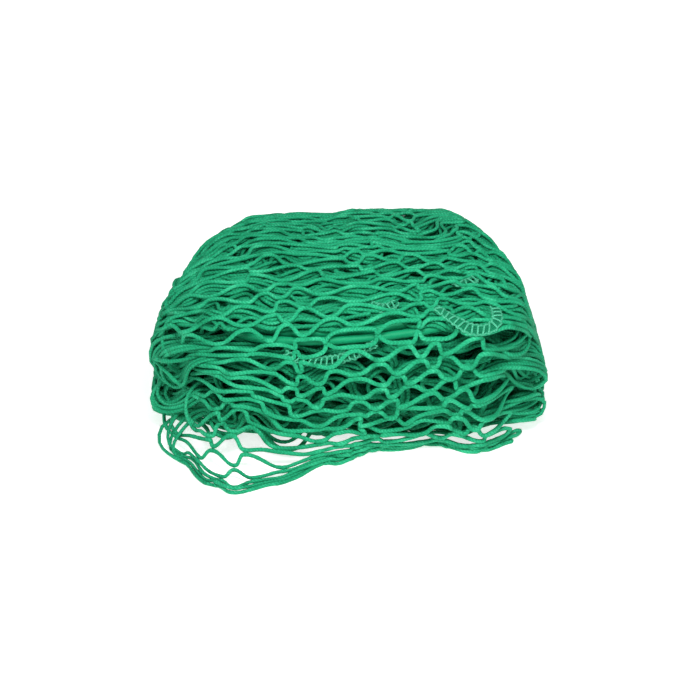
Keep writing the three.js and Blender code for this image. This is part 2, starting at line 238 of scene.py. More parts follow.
def tube_object(name, groups):
    """A mesh object of all tubes, with their places as UV map and their shades as attribute."""
    points, quads, ends, places, shades = gather_tubes(groups)
    corners = np.concatenate([quads.reshape(-1)] + ends)
    sizes = np.concatenate([np.full(len(quads), 4), [len(e) for e in ends]]).astype(np.int32)
    starts = np.concatenate([[0], np.cumsum(sizes)[:-1]])
    mesh = bpy.data.meshes.new(name)
    mesh.vertices.add(len(points))
    mesh.vertices.foreach_set("co", to_scene(points).astype(np.float32).ravel())
    mesh.loops.add(len(corners))
    mesh.loops.foreach_set("vertex_index", corners.astype(np.int32))
    mesh.polygons.add(len(sizes))
    mesh.polygons.foreach_set("loop_start", starts.astype(np.int32))
    mesh.polygons.foreach_set("use_smooth", np.ones(len(sizes), dtype=bool))
    mesh.update(calc_edges=True)
    layer = mesh.uv_layers.new(name="twine")
    flat = np.zeros((len(corners), 2), dtype=np.float32)
    flat[: quads.size] = places.reshape(-1, 2)
    layer.data.foreach_set("uv", flat.ravel())
    tint = mesh.attributes.new("shade", "FLOAT", "POINT")
    tint.data.foreach_set("value", shades.astype(np.float32))
    print(f"{name}: {(sizes - 2).sum()} triangles")
    return add_object(name, mesh)


# %% [markdown]
# The smooth drawcord of the panel's edge shows twice in the slot between the top and the apron. It
# is round and plain, so it is a tube with many sides. Seen from above, each run follows the points
# of its solid, but it rises with the slot towards the right. Both its ends tuck in between two
# layers.

# %% Drawcord runs
CORD_DIAMETER = 8.0
CORD_STEPS, CORD_SIDES = 6, 20
CORD_ROUTES = {
    "draw_cord_front": [
        (-130, -50, 116), (-117, -65, 116), (-98, -79, 116), (-74, -86.5, 116), (-46, -90, 116.5),
        (-16, -91.5, 118), (16, -91.5, 120.5), (46, -89.5, 123.5), (74, -85.5, 126), (97, -77, 128),
        (113, -63, 128), (121, -50, 126),
    ],
    "draw_cord_back": [
        (-119, -41, 121.5), (-107, -56, 120.5), (-90, -70, 120), (-68, -78, 120),
        (-42, -81.5, 120.5), (-15, -83, 122), (15, -83, 124.5), (42, -81, 127.5), (68, -77, 130),
        (89, -68.5, 132), (104, -54.5, 132), (111, -41.5, 131),
    ],
}


def make_cord(node, path):
    tube = {"lines": path[None], "radius": CORD_DIAMETER / 2, "sides": CORD_SIDES}
    cord = tube_object(node + "_run", [tube])
    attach(cord, "root")
    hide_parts(node)
    length = float(step_lengths(path).sum())
    to_scene(path[0])
    to_scene(path)
    print(f"{node}: {length:.0f} mm")
    return cord


cord_paths = {node: smooth_line(route, CORD_STEPS) for node, route in CORD_ROUTES.items()}
cords = {node: make_cord(node, path) for node, path in cord_paths.items()}

# %% [markdown]
# The cover is the last fold of the net, turned from the back over the top and down the front to
# the hem on the floor. Its form is that of the solid: a middle section with named stations, and
# how far it reaches left and right at each of them. flare is how far a station follows the hem's
# line, drawn_in is how far short of the solid's ends the outermost layer turns, so that the folds
# behind it show at both ends of the apron, slack is how much longer a twine is than the straight
# way between two joints, and strands is the number of strands from one station to the next.

# %% Stations of the cover
STATION_COLUMNS = ("y", "z", "left", "right", "flare", "drawn_in", "slack", "strands")
STATIONS = {
    "back_low": (126, 58, 178, 182, 0, 2, 1.03, 12),
    "back_middle": (133, 105, 180, 184, 0, 2, 1.02, 11),
    "back_top": (113, 154, 180, 182, 0, 2, 1.02, 8),
    "crown": (58, 164, 181, 182, 0, 2, 1.05, 6),
    "top": (-6, 160, 182, 183, 0, 2, 1.05, 5),
    "shoulder": (-58, 150, 184, 184, 0, 2, 1.06, 4),
    "brow": (-93, 136, 187, 187, 0, 6, 1.05, 1),
    "sill": (-104, 112, 189, 189, 0, 24, 1.06, 4),
    "front": (-112, 78, 189, 191, 0, 33, 1.07, 3),
    "front_low": (-113, 42, 186, 188, 0.12, 29, 1.07, 3),
    "floor_turn": (-112, 15, 178, 175, 0.42, 8, 1.05, 2),
    "near_hem": (-112, 5, 174, 170, 0.86, 3, 1.04, 3),
    "hem": (-112, 2.3, 172, 168, 1, 2, 1.03, 0),
}
FINE_STEPS = 60

table = np.array(list(STATIONS.values()), dtype=float)
station_number = {name: k for k, name in enumerate(STATIONS)}
fine_station = np.arange((len(table) - 1) * FINE_STEPS + 1) / FINE_STEPS
section = smooth_line(np.c_[table[:, :2], np.zeros(len(table))], FINE_STEPS)[:, :2]
fine_length = length_along(section)
print(f"section {fine_length[-1]:.0f} mm long, height {section[:, 1].max():.0f} mm")

# %% [markdown]
# The stations are read in two ways: by name or number, to find how far down the section one lies,
# and by a length down the section, to find the value of a column there. Between two stations the
# values change evenly.

# %% Read the stations


def station_column(name):
    return table[:, STATION_COLUMNS.index(name)]


def station_length(station):
    """Millimetres down the middle section at a station's name or number."""
    number = station_number[station] if isinstance(station, str) else station
    return np.interp(number, fine_station, fine_length)


def column(name, down):
    """A column of the station table at a length down the section."""
    station = np.interp(down, fine_length, fine_station)
    return np.interp(station, np.arange(len(table)), station_column(name))


print(f"from the back edge down to the brow: {station_length('brow'):.0f} mm")

# %% [markdown]
# A folded net is no even roll. It gets thinner at both ends, where the folds are pressed together,
# it lies a little higher on the right, both ends are drawn in towards the back, and the hem
# spreads over the floor in an uneven line. Each of these is a small function of the place, so the
# same rules serve the cover, the layers inside it and the simulation.

# %% Ends, top and hem
AXIS_Y, AXIS_Z = 5.0, 60.0
END_TAPER = {"left": 0.53, "right": 0.42}
TAPER_POWER = {"left": 6.0, "right": 10.0}
TOP_STEP = {"height": 2.2, "at": -12.0, "reach": 15.0, "full_rise": 60.0}
HEM_LINE = np.array([
    (-192, -54), (-160, -116), (-132, -156), (-104, -171), (-65, -157), (-19, -124),
    (30, -98), (80, -89), (124, -102), (153, -84), (192, -32),
], dtype=float)
END_SLANT = {"left": 0.34, "right": 0.36, "from": -10.0, "over": 190.0}


def by_end(x, values):
    """The left or the right value, by the side of the bundle that a place is on."""
    return np.where(x < 0, values["left"], values["right"])


def taper(share):
    return 1 - (1 - by_end(share, END_TAPER)) * np.abs(share) ** by_end(share, TAPER_POWER)


def top_step(x):
    return TOP_STEP["height"] * np.tanh((x - TOP_STEP["at"]) / TOP_STEP["reach"])


def hem_depth(x):
    """Where the hem lies on the floor, eased between the points of its line."""
    k = np.clip(np.searchsorted(HEM_LINE[:, 0], x) - 1, 0, len(HEM_LINE) - 2)
    a, b = HEM_LINE[k], HEM_LINE[k + 1]
    t = np.clip((x - a[..., 0]) / (b[..., 0] - a[..., 0]), 0, 1)
    return a[..., 1] + (b[..., 1] - a[..., 1]) * t * t * (3 - 2 * t)


def end_slant(x, y):
    """How much of its reach along X a place keeps: both ends are drawn in towards the back."""
    behind = np.maximum(0.0, y - END_SLANT["from"])
    return 1 - by_end(x, END_SLANT) * behind / END_SLANT["over"]


print("height of the ends, as shares of the middle:", END_TAPER)

# %% [markdown]
# Now a point of the cover can be given by two numbers: its share along the bundle, from -1 to 1,
# and the length down the section. The surface also swells in low waves, because the folds under it
# are uneven. Its outward direction comes from two short steps over the surface.

# %% Points of the cover
SWELL_HEIGHT = 2.5
SWELL_WAVES = [(31.0, 0.9), (57.0, -1.7)]  # length, and turn from station to station
STEP_SHARE, STEP_DOWN = 0.02, 2.0


def cover_middle(share, down, drawn_in=0.0):
    """A point of the cover: share runs from -1 to 1, down is the length from the back edge."""
    share, down = np.broadcast_arrays(*(np.asarray(v, dtype=float) for v in (share, down)))
    y0, z0 = (np.interp(down, fine_length, section[:, k]) for k in range(2))
    size = taper(share)
    reach = by_end(share, {end: column(end, down) for end in ("left", "right")})
    x = share * (reach - drawn_in * column("drawn_in", down))
    y = AXIS_Y + size * (y0 - AXIS_Y)
    z = AXIS_Z + np.where(z0 > AXIS_Z, size, 1.0) * (z0 - AXIS_Z)
    z = z + top_step(x) * np.clip((z0 - AXIS_Z) / TOP_STEP["full_rise"], 0, 1)
    flare = column("flare", down)
    swell = SWELL_HEIGHT * (1 - flare)
    for length, turn in SWELL_WAVES:
        swell = swell * np.sin(x / length + np.interp(down, fine_length, fine_station) * turn)
    y = y + flare * (hem_depth(x) - y)
    return np.stack([x, y - swell, z + swell / 2], axis=-1)


def cover_normal(share, down):
    across = cover_middle(share + STEP_SHARE, down) - cover_middle(share - STEP_SHARE, down)
    along = cover_middle(share, np.minimum(down + STEP_DOWN, fine_length[-1]))
    along = along - cover_middle(share, np.maximum(down - STEP_DOWN, 0.0))
    return unit(np.cross(along, across))


on_top = (fine_station >= station_number["back_top"]) & (fine_station <= station_number["brow"])
top_y, top_z = section[on_top][::-1].T
top_reach = {end: station_column(end)[station_number["top"]] for end in ("left", "right")}


def cover_height(x, y):
    """Height of the cover over a place under its top."""
    size = taper(x / by_end(x, top_reach))
    return AXIS_Z + size * (np.interp(AXIS_Y + (y - AXIS_Y) / size, top_y, top_z) - AXIS_Z)


print("middle of the brow:", cover_middle(0.0, station_length("brow")).round(1))

# %% [markdown]
# The panel's border is overlocked with pale thread, and shows in four places on the cover. The
# routes are settled now, because the twine has to lie round them. Each point of a route is a share
# along the bundle, a station number, and how far the band lies outside the cover: 1 is on it and
# -1 is under it.

# %% Routes of the stitched border
COVER_SHEET, BAND_GAP, BAND_HALF = 4.5, 0.5, 1.2  # the solid's sheet, a gap, half a flat band
BAND_LIFT = COVER_SHEET / 2 + BAND_GAP + BAND_HALF
BAND_STEPS = 10
BAND_ROUTES = {
    "stitched_edge_corner": [
        (0.43, 5.56, 1), (0.48, 5.78, 1), (0.53, 6.02, 1), (0.59, 6.22, 1), (0.66, 6.26, 1),
        (0.72, 6.02, 0.6), (0.735, 5.5, -0.6), (0.71, 5.05, -1),
    ],
    "stitched_edge_crest": [
        (0.53, 4.64, -0.8), (0.58, 4.74, -0.5), (0.62, 4.68, -0.5), (0.66, 4.46, -0.8),
    ],
    "stitched_edge_brow": [
        (0.1, 5.28, -1), (0.14, 5.42, -1), (0.19, 5.44, -1), (0.24, 5.24, -1),
    ],
    "stitched_edge_sill": [
        (-0.32, 6.94, -1), (-0.26, 7.12, -1), (-0.18, 7.24, -1), (-0.09, 7.26, -1),
        (-0.02, 7.16, -1), (0.06, 6.98, -1), (0.13, 6.78, -1),
    ],
}


def band_line(route):
    """Middle line of a band, the cover's outward direction along it, and how far it is outside."""
    share, station, over = smooth_line(route, BAND_STEPS).T
    down = station_length(station)
    normal = cover_normal(share, down)
    return cover_middle(share, down) + over[:, None] * BAND_LIFT * normal, normal, over


band_lines = {node: band_line(route) for node, route in BAND_ROUTES.items()}
for node, (line, _, _) in band_lines.items():
    print(f"{node}: {step_lengths(line).sum():.0f} mm")

# %% [markdown]
# A strand runs through the whole bundle: left to right in the lowest layer, round a bend, back in
# the next one, and so on, and at last three times through the cover, the outermost layer last. All
# strands lie side by side, from the back edge to the front. rise is a layer's height from the floor
# to the top of the stack, a cover layer's depth is how far it lies under the outermost one, and
# bars is the number of mesh sides along a layer.

# %% Layers that the strands run through
STRANDS = 63
STEPS = 6  # points along one mesh side
INNER_BARS = 9
INNER_COLUMNS = ("left", "right", "front", "back", "rise", "slack")
INNER_ROWS = [
    (-158, 156, -66, 106, 0.0, 1.12),
    (-179, 173, -80, 110, 0.14, 1.16),
    (-186, 170, -88, 114, 0.28, 1.16),
    (-177, 181, -95, 118, 0.42, 1.16),
    (-183, 174, -91, 118, 0.56, 1.16),
    (-168, 164, -95, 116, 0.71, 1.16),
    (-166, 158, -91, 110, 0.88, 1.14),
    (-156, 148, -66, 100, 1.0, 1.12),
]
COVER_COLUMNS = ("top_depth", "front_depth", "last", "front_strands", "bars", "slack")
COVER_ROWS = [
    (9.5, 9.5, "brow", 0, 11, 1.12),
    (4.8, 15.0, "floor_turn", 13, 12, 1.16),
    (0.0, 0.0, "hem", None, 17, None),  # as the stations say
]
INNER_LAYERS = [dict(zip(INNER_COLUMNS, row), bars=INNER_BARS) for row in INNER_ROWS]
ALL_LAYERS = INNER_LAYERS + [dict(zip(COVER_COLUMNS, row)) for row in COVER_ROWS]
INNER_COUNT = len(INNER_LAYERS)
LAST_LAYER = len(ALL_LAYERS) - 1
FIRST_JOINT = np.cumsum([0] + [layer["bars"] for layer in ALL_LAYERS])
print(f"{len(ALL_LAYERS)} layers, and {FIRST_JOINT[-1]} mesh sides along each strand")

# %% [markdown]
# Between the top and the apron the net gapes in a slot that rises to the right, and the drawcord
# shows in it. The strands beside the slot crowd together to make room. How far each of them moves
# is given strand by strand, from the top down, because this is the place that the eye goes to.

# %% The slot
SLOT_ABOVE, SLOT_BELOW = 8, 6  # strands that make room
SLOT_SHIFT = (1.0, 2.5, 4.0, 5.5, 7.5, 9.5, 12.0, 15.0, -12.0, -5.0, -3.0, -2.0, -1.0, 0.0)
SLOT_TILT = 22.0  # how much higher the slot lies at the right end than in the middle
TILT_SHARE = (0.04, 0.1, 0.16, 0.24, 0.32, 0.42, 0.56, 0.8, 0.8, 0.56, 0.4, 0.28, 0.18, 0.08)
SLOT_GAPE = {"up": 9.0, "down": 4.0, "middle": 0.66, "reach": 0.17}  # where the cord shows best
SLOT_SPAN, SLOT_FADE = (0.2, 0.86), 0.06  # where the slot gapes, as shares along the bundle
SLOT_EDGE = {"strands": 4, "drift": 3}  # how far the lower cover layers stay away from it

BROW_STRAND = int(station_column("strands")[: station_number["brow"]].sum())
SLOT_STRANDS = slice(BROW_STRAND + 1 - SLOT_ABOVE, BROW_STRAND + 1 + SLOT_BELOW)
beside_slot = np.isin(np.arange(STRANDS), (BROW_STRAND, BROW_STRAND + 1))


def in_slot(along):
    """1 where the slot gapes, 0 towards both ends of the bundle."""
    start, end = SLOT_SPAN
    opening = np.clip((along - start) / SLOT_FADE, 0, 1)
    return opening * np.clip((end - along) / SLOT_FADE, 0, 1)


def open_slot(along, across, swayed):
    """Draws the strands beside the slot to its slanted line, and apart where the cord shows."""
    beside = along[SLOT_STRANDS]
    tilted = across[SLOT_STRANDS, None] - SLOT_TILT * (2 * beside - 1)
    way = np.repeat((-SLOT_GAPE["up"], SLOT_GAPE["down"]), (SLOT_ABOVE, SLOT_BELOW))[:, None]
    gape = way * np.exp(-(((beside - SLOT_GAPE["middle"]) / SLOT_GAPE["reach"]) ** 2))
    swayed[SLOT_STRANDS] += np.array(TILT_SHARE)[:, None] * (tilted + gape - swayed[SLOT_STRANDS])


def part_at_slot(number, swayed):
    """Keeps the strands of a lower cover layer out of the slot."""
    above = np.arange(STRANDS) < STRANDS - ALL_LAYERS[number]["front_strands"]
    clear = SLOT_EDGE["drift"]
    swayed[above] = np.minimum(swayed[above], station_length("brow") - clear)
    swayed[~above] = np.maximum(swayed[~above], station_length("sill") + clear)


print("the slot is under strand", BROW_STRAND, "of", STRANDS)

# %% [markdown]
# A joint is first given in its layer: along it, across it, and lifted a little. Two functions turn
# that into a point, one for the layers in the stack and one for those of the cover. Working in the
# layer's own directions keeps the knitting simple, whatever way the layer is folded.

# %% Places in a layer
TWINE = 4.2
INNER_TOP_GAP = 15.0  # from the outermost cover layer down to the highest inner layer
PLAN_TAPER = {"end": 0.5, "power": 5.0, "reach": 190.0}
HEM_CLOSING = 0.7  # how much of its depth a cover layer loses at the hem


def inner_place(layer, share, across, lift):
    """A point of an inner layer: share is 0 to 1, across is its depth at the bundle's middle."""
    x = layer["left"] + (layer["right"] - layer["left"]) * share
    out = np.abs(x / PLAN_TAPER["reach"])
    size = 1 - (1 - PLAN_TAPER["end"]) * out ** PLAN_TAPER["power"]
    y = AXIS_Y + size * (across - AXIS_Y)
    x = x * end_slant(x, y)
    roof = cover_height(x, y) - INNER_TOP_GAP
    lowest = TWINE / 2
    height = lowest + (roof - lowest) * layer["rise"] + lift
    return np.stack([x, y, np.clip(height, lowest, roof)], axis=-1)


def cover_place(layer, share, across, lift):
    """A point of a cover layer: share is 0 to 1, across is the length from the back edge."""
    s = 2 * share - 1
    across = np.clip(across, 0.0, fine_length[-1])
    brow, sill = station_length("brow"), station_length("sill")
    front = np.clip((across - brow) / (sill - brow), 0, 1)
    depth = layer["top_depth"] + (layer["front_depth"] - layer["top_depth"]) * front
    depth = np.maximum(depth - lift, 0.0) * (1 - HEM_CLOSING * column("flare", across))
    place = cover_middle(s, across, drawn_in=1.0) - depth[..., None] * cover_normal(s, across)
    place[..., 0] *= end_slant(place[..., 0], place[..., 1])
    return place


def layer_place(number, along, across, lift):
    """A point of any layer: along runs from 0 to 1 in the strand's own direction."""
    share = along if number % 2 == 0 else 1 - along
    share = np.broadcast_to(share, np.shape(across))
    place = inner_place if number < INNER_COUNT else cover_place
    return place(ALL_LAYERS[number], share, across, lift)


middle = layer_place(0, np.array([0.5]), np.array([0.0]), 0.0)[0]
print("the middle of the lowest layer:", middle.round(1))

# %% [markdown]
# In the stack the strands lie evenly from the back to the front. On the outermost layer the
# stations say how many of them lie where: close together at the back and wide apart on the apron.
# The two layers under it leave the slot free.

# %% Strands across a layer
SHORT_OF_TURN = 6.0  # how far above the floor turn the layer behind the apron ends


def strands_across(number):
    """Where the strands lie across a layer, from the back edge to the front."""
    layer = ALL_LAYERS[number]
    if number < INNER_COUNT:
        return np.linspace(layer["back"], layer["front"], STRANDS)
    brow, sill, end = (station_length(name) for name in ("brow", "sill", layer["last"]))
    if layer["front_strands"] is None:
        counts = station_column("strands")[:-1].astype(int)
        stations = [k + np.arange(n) / n for k, n in enumerate(counts)] + [[len(counts)]]
        places = station_length(np.concatenate(stations))
        places[SLOT_STRANDS] += SLOT_SHIFT
        return places
    top = np.linspace(0, brow - SLOT_EDGE["strands"], STRANDS - layer["front_strands"])
    first, last = sill + SLOT_EDGE["strands"], end - SHORT_OF_TURN
    return np.concatenate([top, np.linspace(first, last, layer["front_strands"])])


print("strands in the outermost layer:", len(strands_across(LAST_LAYER)))

# %% [markdown]
# At every joint a strand is knitted to one neighbour, and at the next joint to the other one. That
# makes the diamonds. So a strand's place across its layer swings from one neighbour to the other
# and back. In a knotless net two twines are braided through each other at a joint, so their middles
# come to lie a little closer than two twines would.

# %% Knitting
JOINT_GAP = 0.9 * TWINE  # between the middles of two twines that are knitted together


def joined_at(number, bar):
    """The strands that are knitted to the next one at a joint, but not where a layer parts."""
    pairs = np.arange((FIRST_JOINT[number] + bar) % 2, STRANDS - 1, 2)
    on_front = ALL_LAYERS[number].get("front_strands")
    return pairs[pairs != STRANDS - on_front - 1] if on_front else pairs


def knit(places, pairs, spread):
    """Draws pairs of strands together at a joint, to each strand's spread."""
    drawn = places.astype(float).copy()
    middle = (places[pairs] + places[pairs + 1]) / 2
    drawn[pairs], drawn[pairs + 1] = middle - spread[pairs] / 2, middle + spread[pairs] / 2
    return drawn


print("joints across the outermost layer:", [len(joined_at(LAST_LAYER, bar)) for bar in (0, 1)])

# %% [markdown]
# Nobody folds a net evenly. Each layer drifts, smoothly from strand to strand and from joint to
# joint, along the fold, across it and in height, so that meshes open in one place, bunch up in
# another and cross the layer below. The drift is soft noise: seeded numbers on a coarse grid, with
# smooth steps in between.

# %% Joints of a layer
DRIFT = {  # millimetres along, across and up, for the layers inside and the three of the cover
    "inner": (12.0, 9.0, 5.0),
    "cover": [(10.0, 15.0, 3.0), (14.0, 17.0, 3.0), (14.0, 12.0, 1.5)],
}
DRIFT_CELLS = (10, 5)  # over the strands and along them
DRIFT_ROOM = {"full": 10.0, "least": 0.2}  # strands that lie close together drift less
APRON_SHARE = 0.6  # of the drift across, on the apron
PAIR_DRIFT = 6.0  # how far a single joint strays along the fold
LAYER_LENGTH = 340.0  # about what a layer measures along the fold
JOINT_SHARE = 0.6  # of the strands' distance, where that is less


def soft_noise(rng, rows, columns, row_cells, column_cells):
    """Smooth noise over a grid, from a coarse grid of seeded numbers."""
    coarse = rng.normal(0, 1, (row_cells + 1, column_cells + 1))
    for axis, count in ((0, rows), (1, columns)):
        at = np.linspace(0, coarse.shape[axis] - 1 - 1e-9, count)
        cell = at.astype(int)
        t = at - cell
        t = t * t * (3 - 2 * t)
        t = t[:, None] if axis == 0 else t[None, :]
        coarse = np.take(coarse, cell, axis) * (1 - t) + np.take(coarse, cell + 1, axis) * t
    return coarse


def layer_joints(rng, number):
    """Where all strands' joints lie in a layer: along (0 to 1), across and lift (millimetres)."""
    bars = ALL_LAYERS[number]["bars"]
    inner = number < INNER_COUNT
    run, sway, lift = DRIFT["inner"] if inner else DRIFT["cover"][number - INNER_COUNT]
    across = strands_across(number)
    noise = [soft_noise(rng, STRANDS, bars, *DRIFT_CELLS) for _ in range(3)]
    ends = np.sin(np.pi * (np.arange(bars) + 0.5) / bars)
    strayed = run * noise[0] * ends + rng.normal(0, PAIR_DRIFT, (STRANDS, bars))
    along = (np.arange(bars) + 0.5) / bars + strayed / LAYER_LENGTH
    spacing = np.gradient(across)
    room = np.clip(np.abs(spacing) / DRIFT_ROOM["full"], DRIFT_ROOM["least"], 1)
    if number == LAST_LAYER:
        room[BROW_STRAND:] *= APRON_SHARE
    swayed = across[:, None] + sway * room[:, None] * noise[1]
    if number == LAST_LAYER:
        open_slot(along, across, swayed)
    elif not inner:
        part_at_slot(number, swayed)
    spread = np.sign(spacing) * np.minimum(JOINT_GAP, JOINT_SHARE * np.abs(spacing))
    for bar in range(bars):
        pairs = joined_at(number, bar)
        along[:, bar] = knit(along[:, bar], pairs, np.zeros(STRANDS))
        swayed[:, bar] = knit(swayed[:, bar], pairs, spread)
    return along, swayed, lift * noise[2]


print("drift of the outermost layer along, across and up:", DRIFT["cover"][-1])

# %% [markdown]
# From joint to joint a strand runs level for a short way, where two twines are knitted into one,
# and then crosses over to its other neighbour. Two kinds of place differ: beside the slot and at
# the panel's two edges the strands meet head-on, in a short upright bar.

# %% Mesh sides
CROSSING = {"from": 0.12, "over": 0.76, "straight": 0.6, "curved": 0.4}
UPRIGHT = {"run": 0.7, "from": 0.38, "over": 0.62}
PANEL_EDGES = [(0, 0), (LAST_LAYER, ALL_LAYERS[LAST_LAYER]["bars"] - 2)]


def ease(t):
    """From 0 to 1 with a short level run at both ends."""
    t = np.clip((t - CROSSING["from"]) / CROSSING["over"], 0, 1)
    return CROSSING["straight"] * t + CROSSING["curved"] * t * t * (3 - 2 * t)


def upright_path(t, to_joint):
    """Shares along and across for two strands that meet head-on."""
    t = t if to_joint else 1 - t
    run = np.clip(t / UPRIGHT["run"], 0, 1)
    drop = np.clip((t - UPRIGHT["from"]) / UPRIGHT["over"], 0, 1)
    drop = drop * drop * (3 - 2 * drop)
    return (run, drop) if to_joint else (1 - run, 1 - drop)


def mesh_side(number, bar, here, there):
    """All strands' points along one mesh side, from a joint to the next one."""
    upright = in_slot(here[0]) * beside_slot if number == LAST_LAYER else np.zeros(STRANDS)
    to_joint = (FIRST_JOINT[number] + bar + 1) % 2 == BROW_STRAND % 2
    if (number, bar) in PANEL_EDGES:
        upright, to_joint = np.ones(STRANDS), bar > 0
    for t in np.arange(STEPS) / STEPS:
        shares = [np.full(STRANDS, share) for share in (t, ease(t), ease(t))]
        for share, wanted in zip(shares, upright_path(t, to_joint)):
            share += upright * (wanted - share)
        mixed = [a + (b - a) * w for a, b, w in zip(here, there, shares)]
        yield layer_place(number, *mixed)


print("crossed over at each step:", [round(float(ease(k / STEPS)), 2) for k in range(STEPS)])

# %% [markdown]
# At the end of a layer the strands turn round into the next one. The ends don't line up, so each
# strand strays a little there. The turn itself is a cubic that leaves one layer and enters the
# next along the fold, and bulges more where the two layers are further apart.

# %% Bends
BEND_SPAN = (0.25, 0.75)  # the part of the last mesh side that turns
BEND_PULL = {"share": 1.6, "least": 6.0, "most": 34.0}  # how far a bend reaches out


def bend_place(number, t, stray, before, after):
    """A point of the turn from a layer's end to the next layer's start."""
    a, b = layer_place(number, 1.0 + stray, *before), layer_place(number + 1, -stray, *after)
    out = np.array([1.0 if number % 2 == 0 else -1.0, 0.0, 0.0])
    gap = np.linalg.norm(b - a, axis=-1, keepdims=True)
    pull = out * np.minimum(BEND_PULL["share"] * gap + BEND_PULL["least"], BEND_PULL["most"])
    h = (2 * t**3 - 3 * t**2 + 1, t**3 - 2 * t**2 + t, -2 * t**3 + 3 * t**2, t**3 - t**2)
    return h[0] * a + h[1] * pull + h[2] * b - h[3] * pull


def bend_side(number, here, there, stray):
    """All strands' points from a layer's last joint round the bend to the next one's first."""
    start, end = BEND_SPAN
    for t in np.arange(STEPS) / STEPS:
        if t < start:
            reach = here[0] + (1 + stray - here[0]) * t / start
            yield layer_place(number, reach, *here[1:])
        elif t <= end:
            yield bend_place(number, (t - start) / (end - start), stray, here[1:], there[1:])
        else:
            reach = -stray + (there[0] + stray) * (t - end) / (1 - end)
            yield layer_place(number + 1, reach, *there[1:])


print(f"a bend reaches out {BEND_PULL['least']} to {BEND_PULL['most']} mm")

# %% [markdown]
# With joints, mesh sides and bends, all strands can be laid at once: layer by layer, each joint is
# a row of places for all 63 strands, and each mesh side adds a few rows of points.

# %% Lay the strands
LAYING_SEED = 11
END_DRIFT = 0.022  # how far a strand strays at a bend, as a share of the layer's length


def lay_strands(rng):
    """All strands' points, and the layer of each mesh side."""
    places = [layer_joints(rng, number) for number in range(len(ALL_LAYERS))]
    points, side_layer = [], []
    for number, rows in enumerate(places):
        stray = rng.normal(0, END_DRIFT, STRANDS)
        joints = list(zip(*(row.T for row in rows)))
        for bar, (here, there) in enumerate(zip(joints, joints[1:])):
            points.extend(mesh_side(number, bar, here, there))
            side_layer.append(number)
        if number < LAST_LAYER:
            there = tuple(row[:, 0] for row in places[number + 1])
            points.extend(bend_side(number, joints[-1], there, stray))
            side_layer.append(number)
    points.append(layer_place(LAST_LAYER, *joints[-1]))
    return np.stack(points, axis=1), np.array(side_layer)


strands, side_layer = lay_strands(np.random.default_rng(LAYING_SEED))
point_layer = np.concatenate([np.repeat(side_layer, STEPS), [LAST_LAYER]])
joint_count = len(side_layer) + 1
print("strands, points, joints:", strands.shape[0], strands.shape[1], joint_count)

# %% [markdown]
# Folding by hand also twists the netting. So all strands are turned round a few places: in curls
# at both ends of the apron, where the folds show from the side, and in slow swirls on the apron
# and the top. The turn is full in the middle of a swirl and fades towards its reach.

# %% Swirls
SWIRLS = [  # plane, middle, reach, turn in degrees, and where it sets in: axis, start, full
    {"plane": (0, 2), "middle": (-152, 75), "reach": 36, "turn": 50, "sets_in": (1, -20, -75)},
    {"plane": (0, 2), "middle": (168, 60), "reach": 30, "turn": -50, "sets_in": (1, -10, -60)},
    {"plane": (0, 2), "middle": (92, 66), "reach": 42, "turn": 15, "sets_in": (1, -60, -105)},
    {"plane": (0, 2), "middle": (-78, 58), "reach": 80, "turn": -34, "sets_in": (1, -60, -105)},
    {"plane": (0, 2), "middle": (60, 48), "reach": 62, "turn": 24, "sets_in": (1, -60, -105)},
    {"plane": (0, 1), "middle": (88, 52), "reach": 58, "turn": 105, "sets_in": (2, 110, 135)},
    {"plane": (0, 1), "middle": (-15, -22), "reach": 40, "turn": -45, "sets_in": (2, 115, 140)},
    {"plane": (0, 1), "middle": (-95, 12), "reach": 42, "turn": 65, "sets_in": (2, 110, 135)},
]
SWIRL_FALLOFF = 1.5


def swirl(points, places):
    """Turns the strands round a few places, most in their middles."""
    for place in places:
        first, second = place["plane"]
        a = points[..., first] - place["middle"][0]
        b = points[..., second] - place["middle"][1]
        axis, start, full = place["sets_in"]
        weight = np.clip((points[..., axis] - start) / (full - start), 0, 1)
        near = np.clip(1 - np.hypot(a, b) / place["reach"], 0, 1)
        weight = weight * near**SWIRL_FALLOFF
        angle = np.radians(place["turn"]) * weight
        points[..., first] = place["middle"][0] + a * np.cos(angle) - b * np.sin(angle)
        points[..., second] = place["middle"][1] + a * np.sin(angle) + b * np.cos(angle)
    return points


strands = swirl(strands, SWIRLS)
print(f"{len(SWIRLS)} swirls")

# %% [markdown]
# The layers under the outermost one show through its meshes, and there they lie every which way. So
# they are turned once more, in many small places on the top and on the front, and further round in
# the two curls.

# %% Small swirls under the outermost layer
CURL_TURNS = (110, -80)  # in the first two places
TOP_ASKEW = {"plane": (0, 1), "first": range(-140, 141, 56), "second": (-35, 15, 65),
             "stray": 9, "reach": (30, 44), "sets_in": (2, 105, 130)}
FRONT_ASKEW = {"plane": (0, 2), "first": range(-150, 151, 50), "second": (35, 78),
               "stray": 8, "reach": (26, 40), "sets_in": (1, -50, -95)}
ASKEW_TURN = (35, 75)
ASKEW_SEED = 5


def askew(rng, middle, kind):
    """A small swirl near a place."""
    return {"plane": kind["plane"], "middle": middle + rng.normal(0, kind["stray"], 2),
            "reach": rng.uniform(*kind["reach"]),
            "turn": rng.choice((-1, 1)) * rng.uniform(*ASKEW_TURN), "sets_in": kind["sets_in"]}


def small_swirls(rng):
    """Places where the layers under the outermost one lie askew, and its curls at both ends."""
    places = [{**curl, "turn": turn} for curl, turn in zip(SWIRLS, CURL_TURNS)]
    for kind in (TOP_ASKEW, FRONT_ASKEW):
        places += [askew(rng, (a, b), kind) for a in kind["first"] for b in kind["second"]]
    return places


under_swirls = small_swirls(np.random.default_rng(ASKEW_SEED))
under = point_layer < LAST_LAYER
strands[:, under] = swirl(strands[:, under], under_swirls)
print(f"{len(under_swirls)} swirls under the outermost layer")

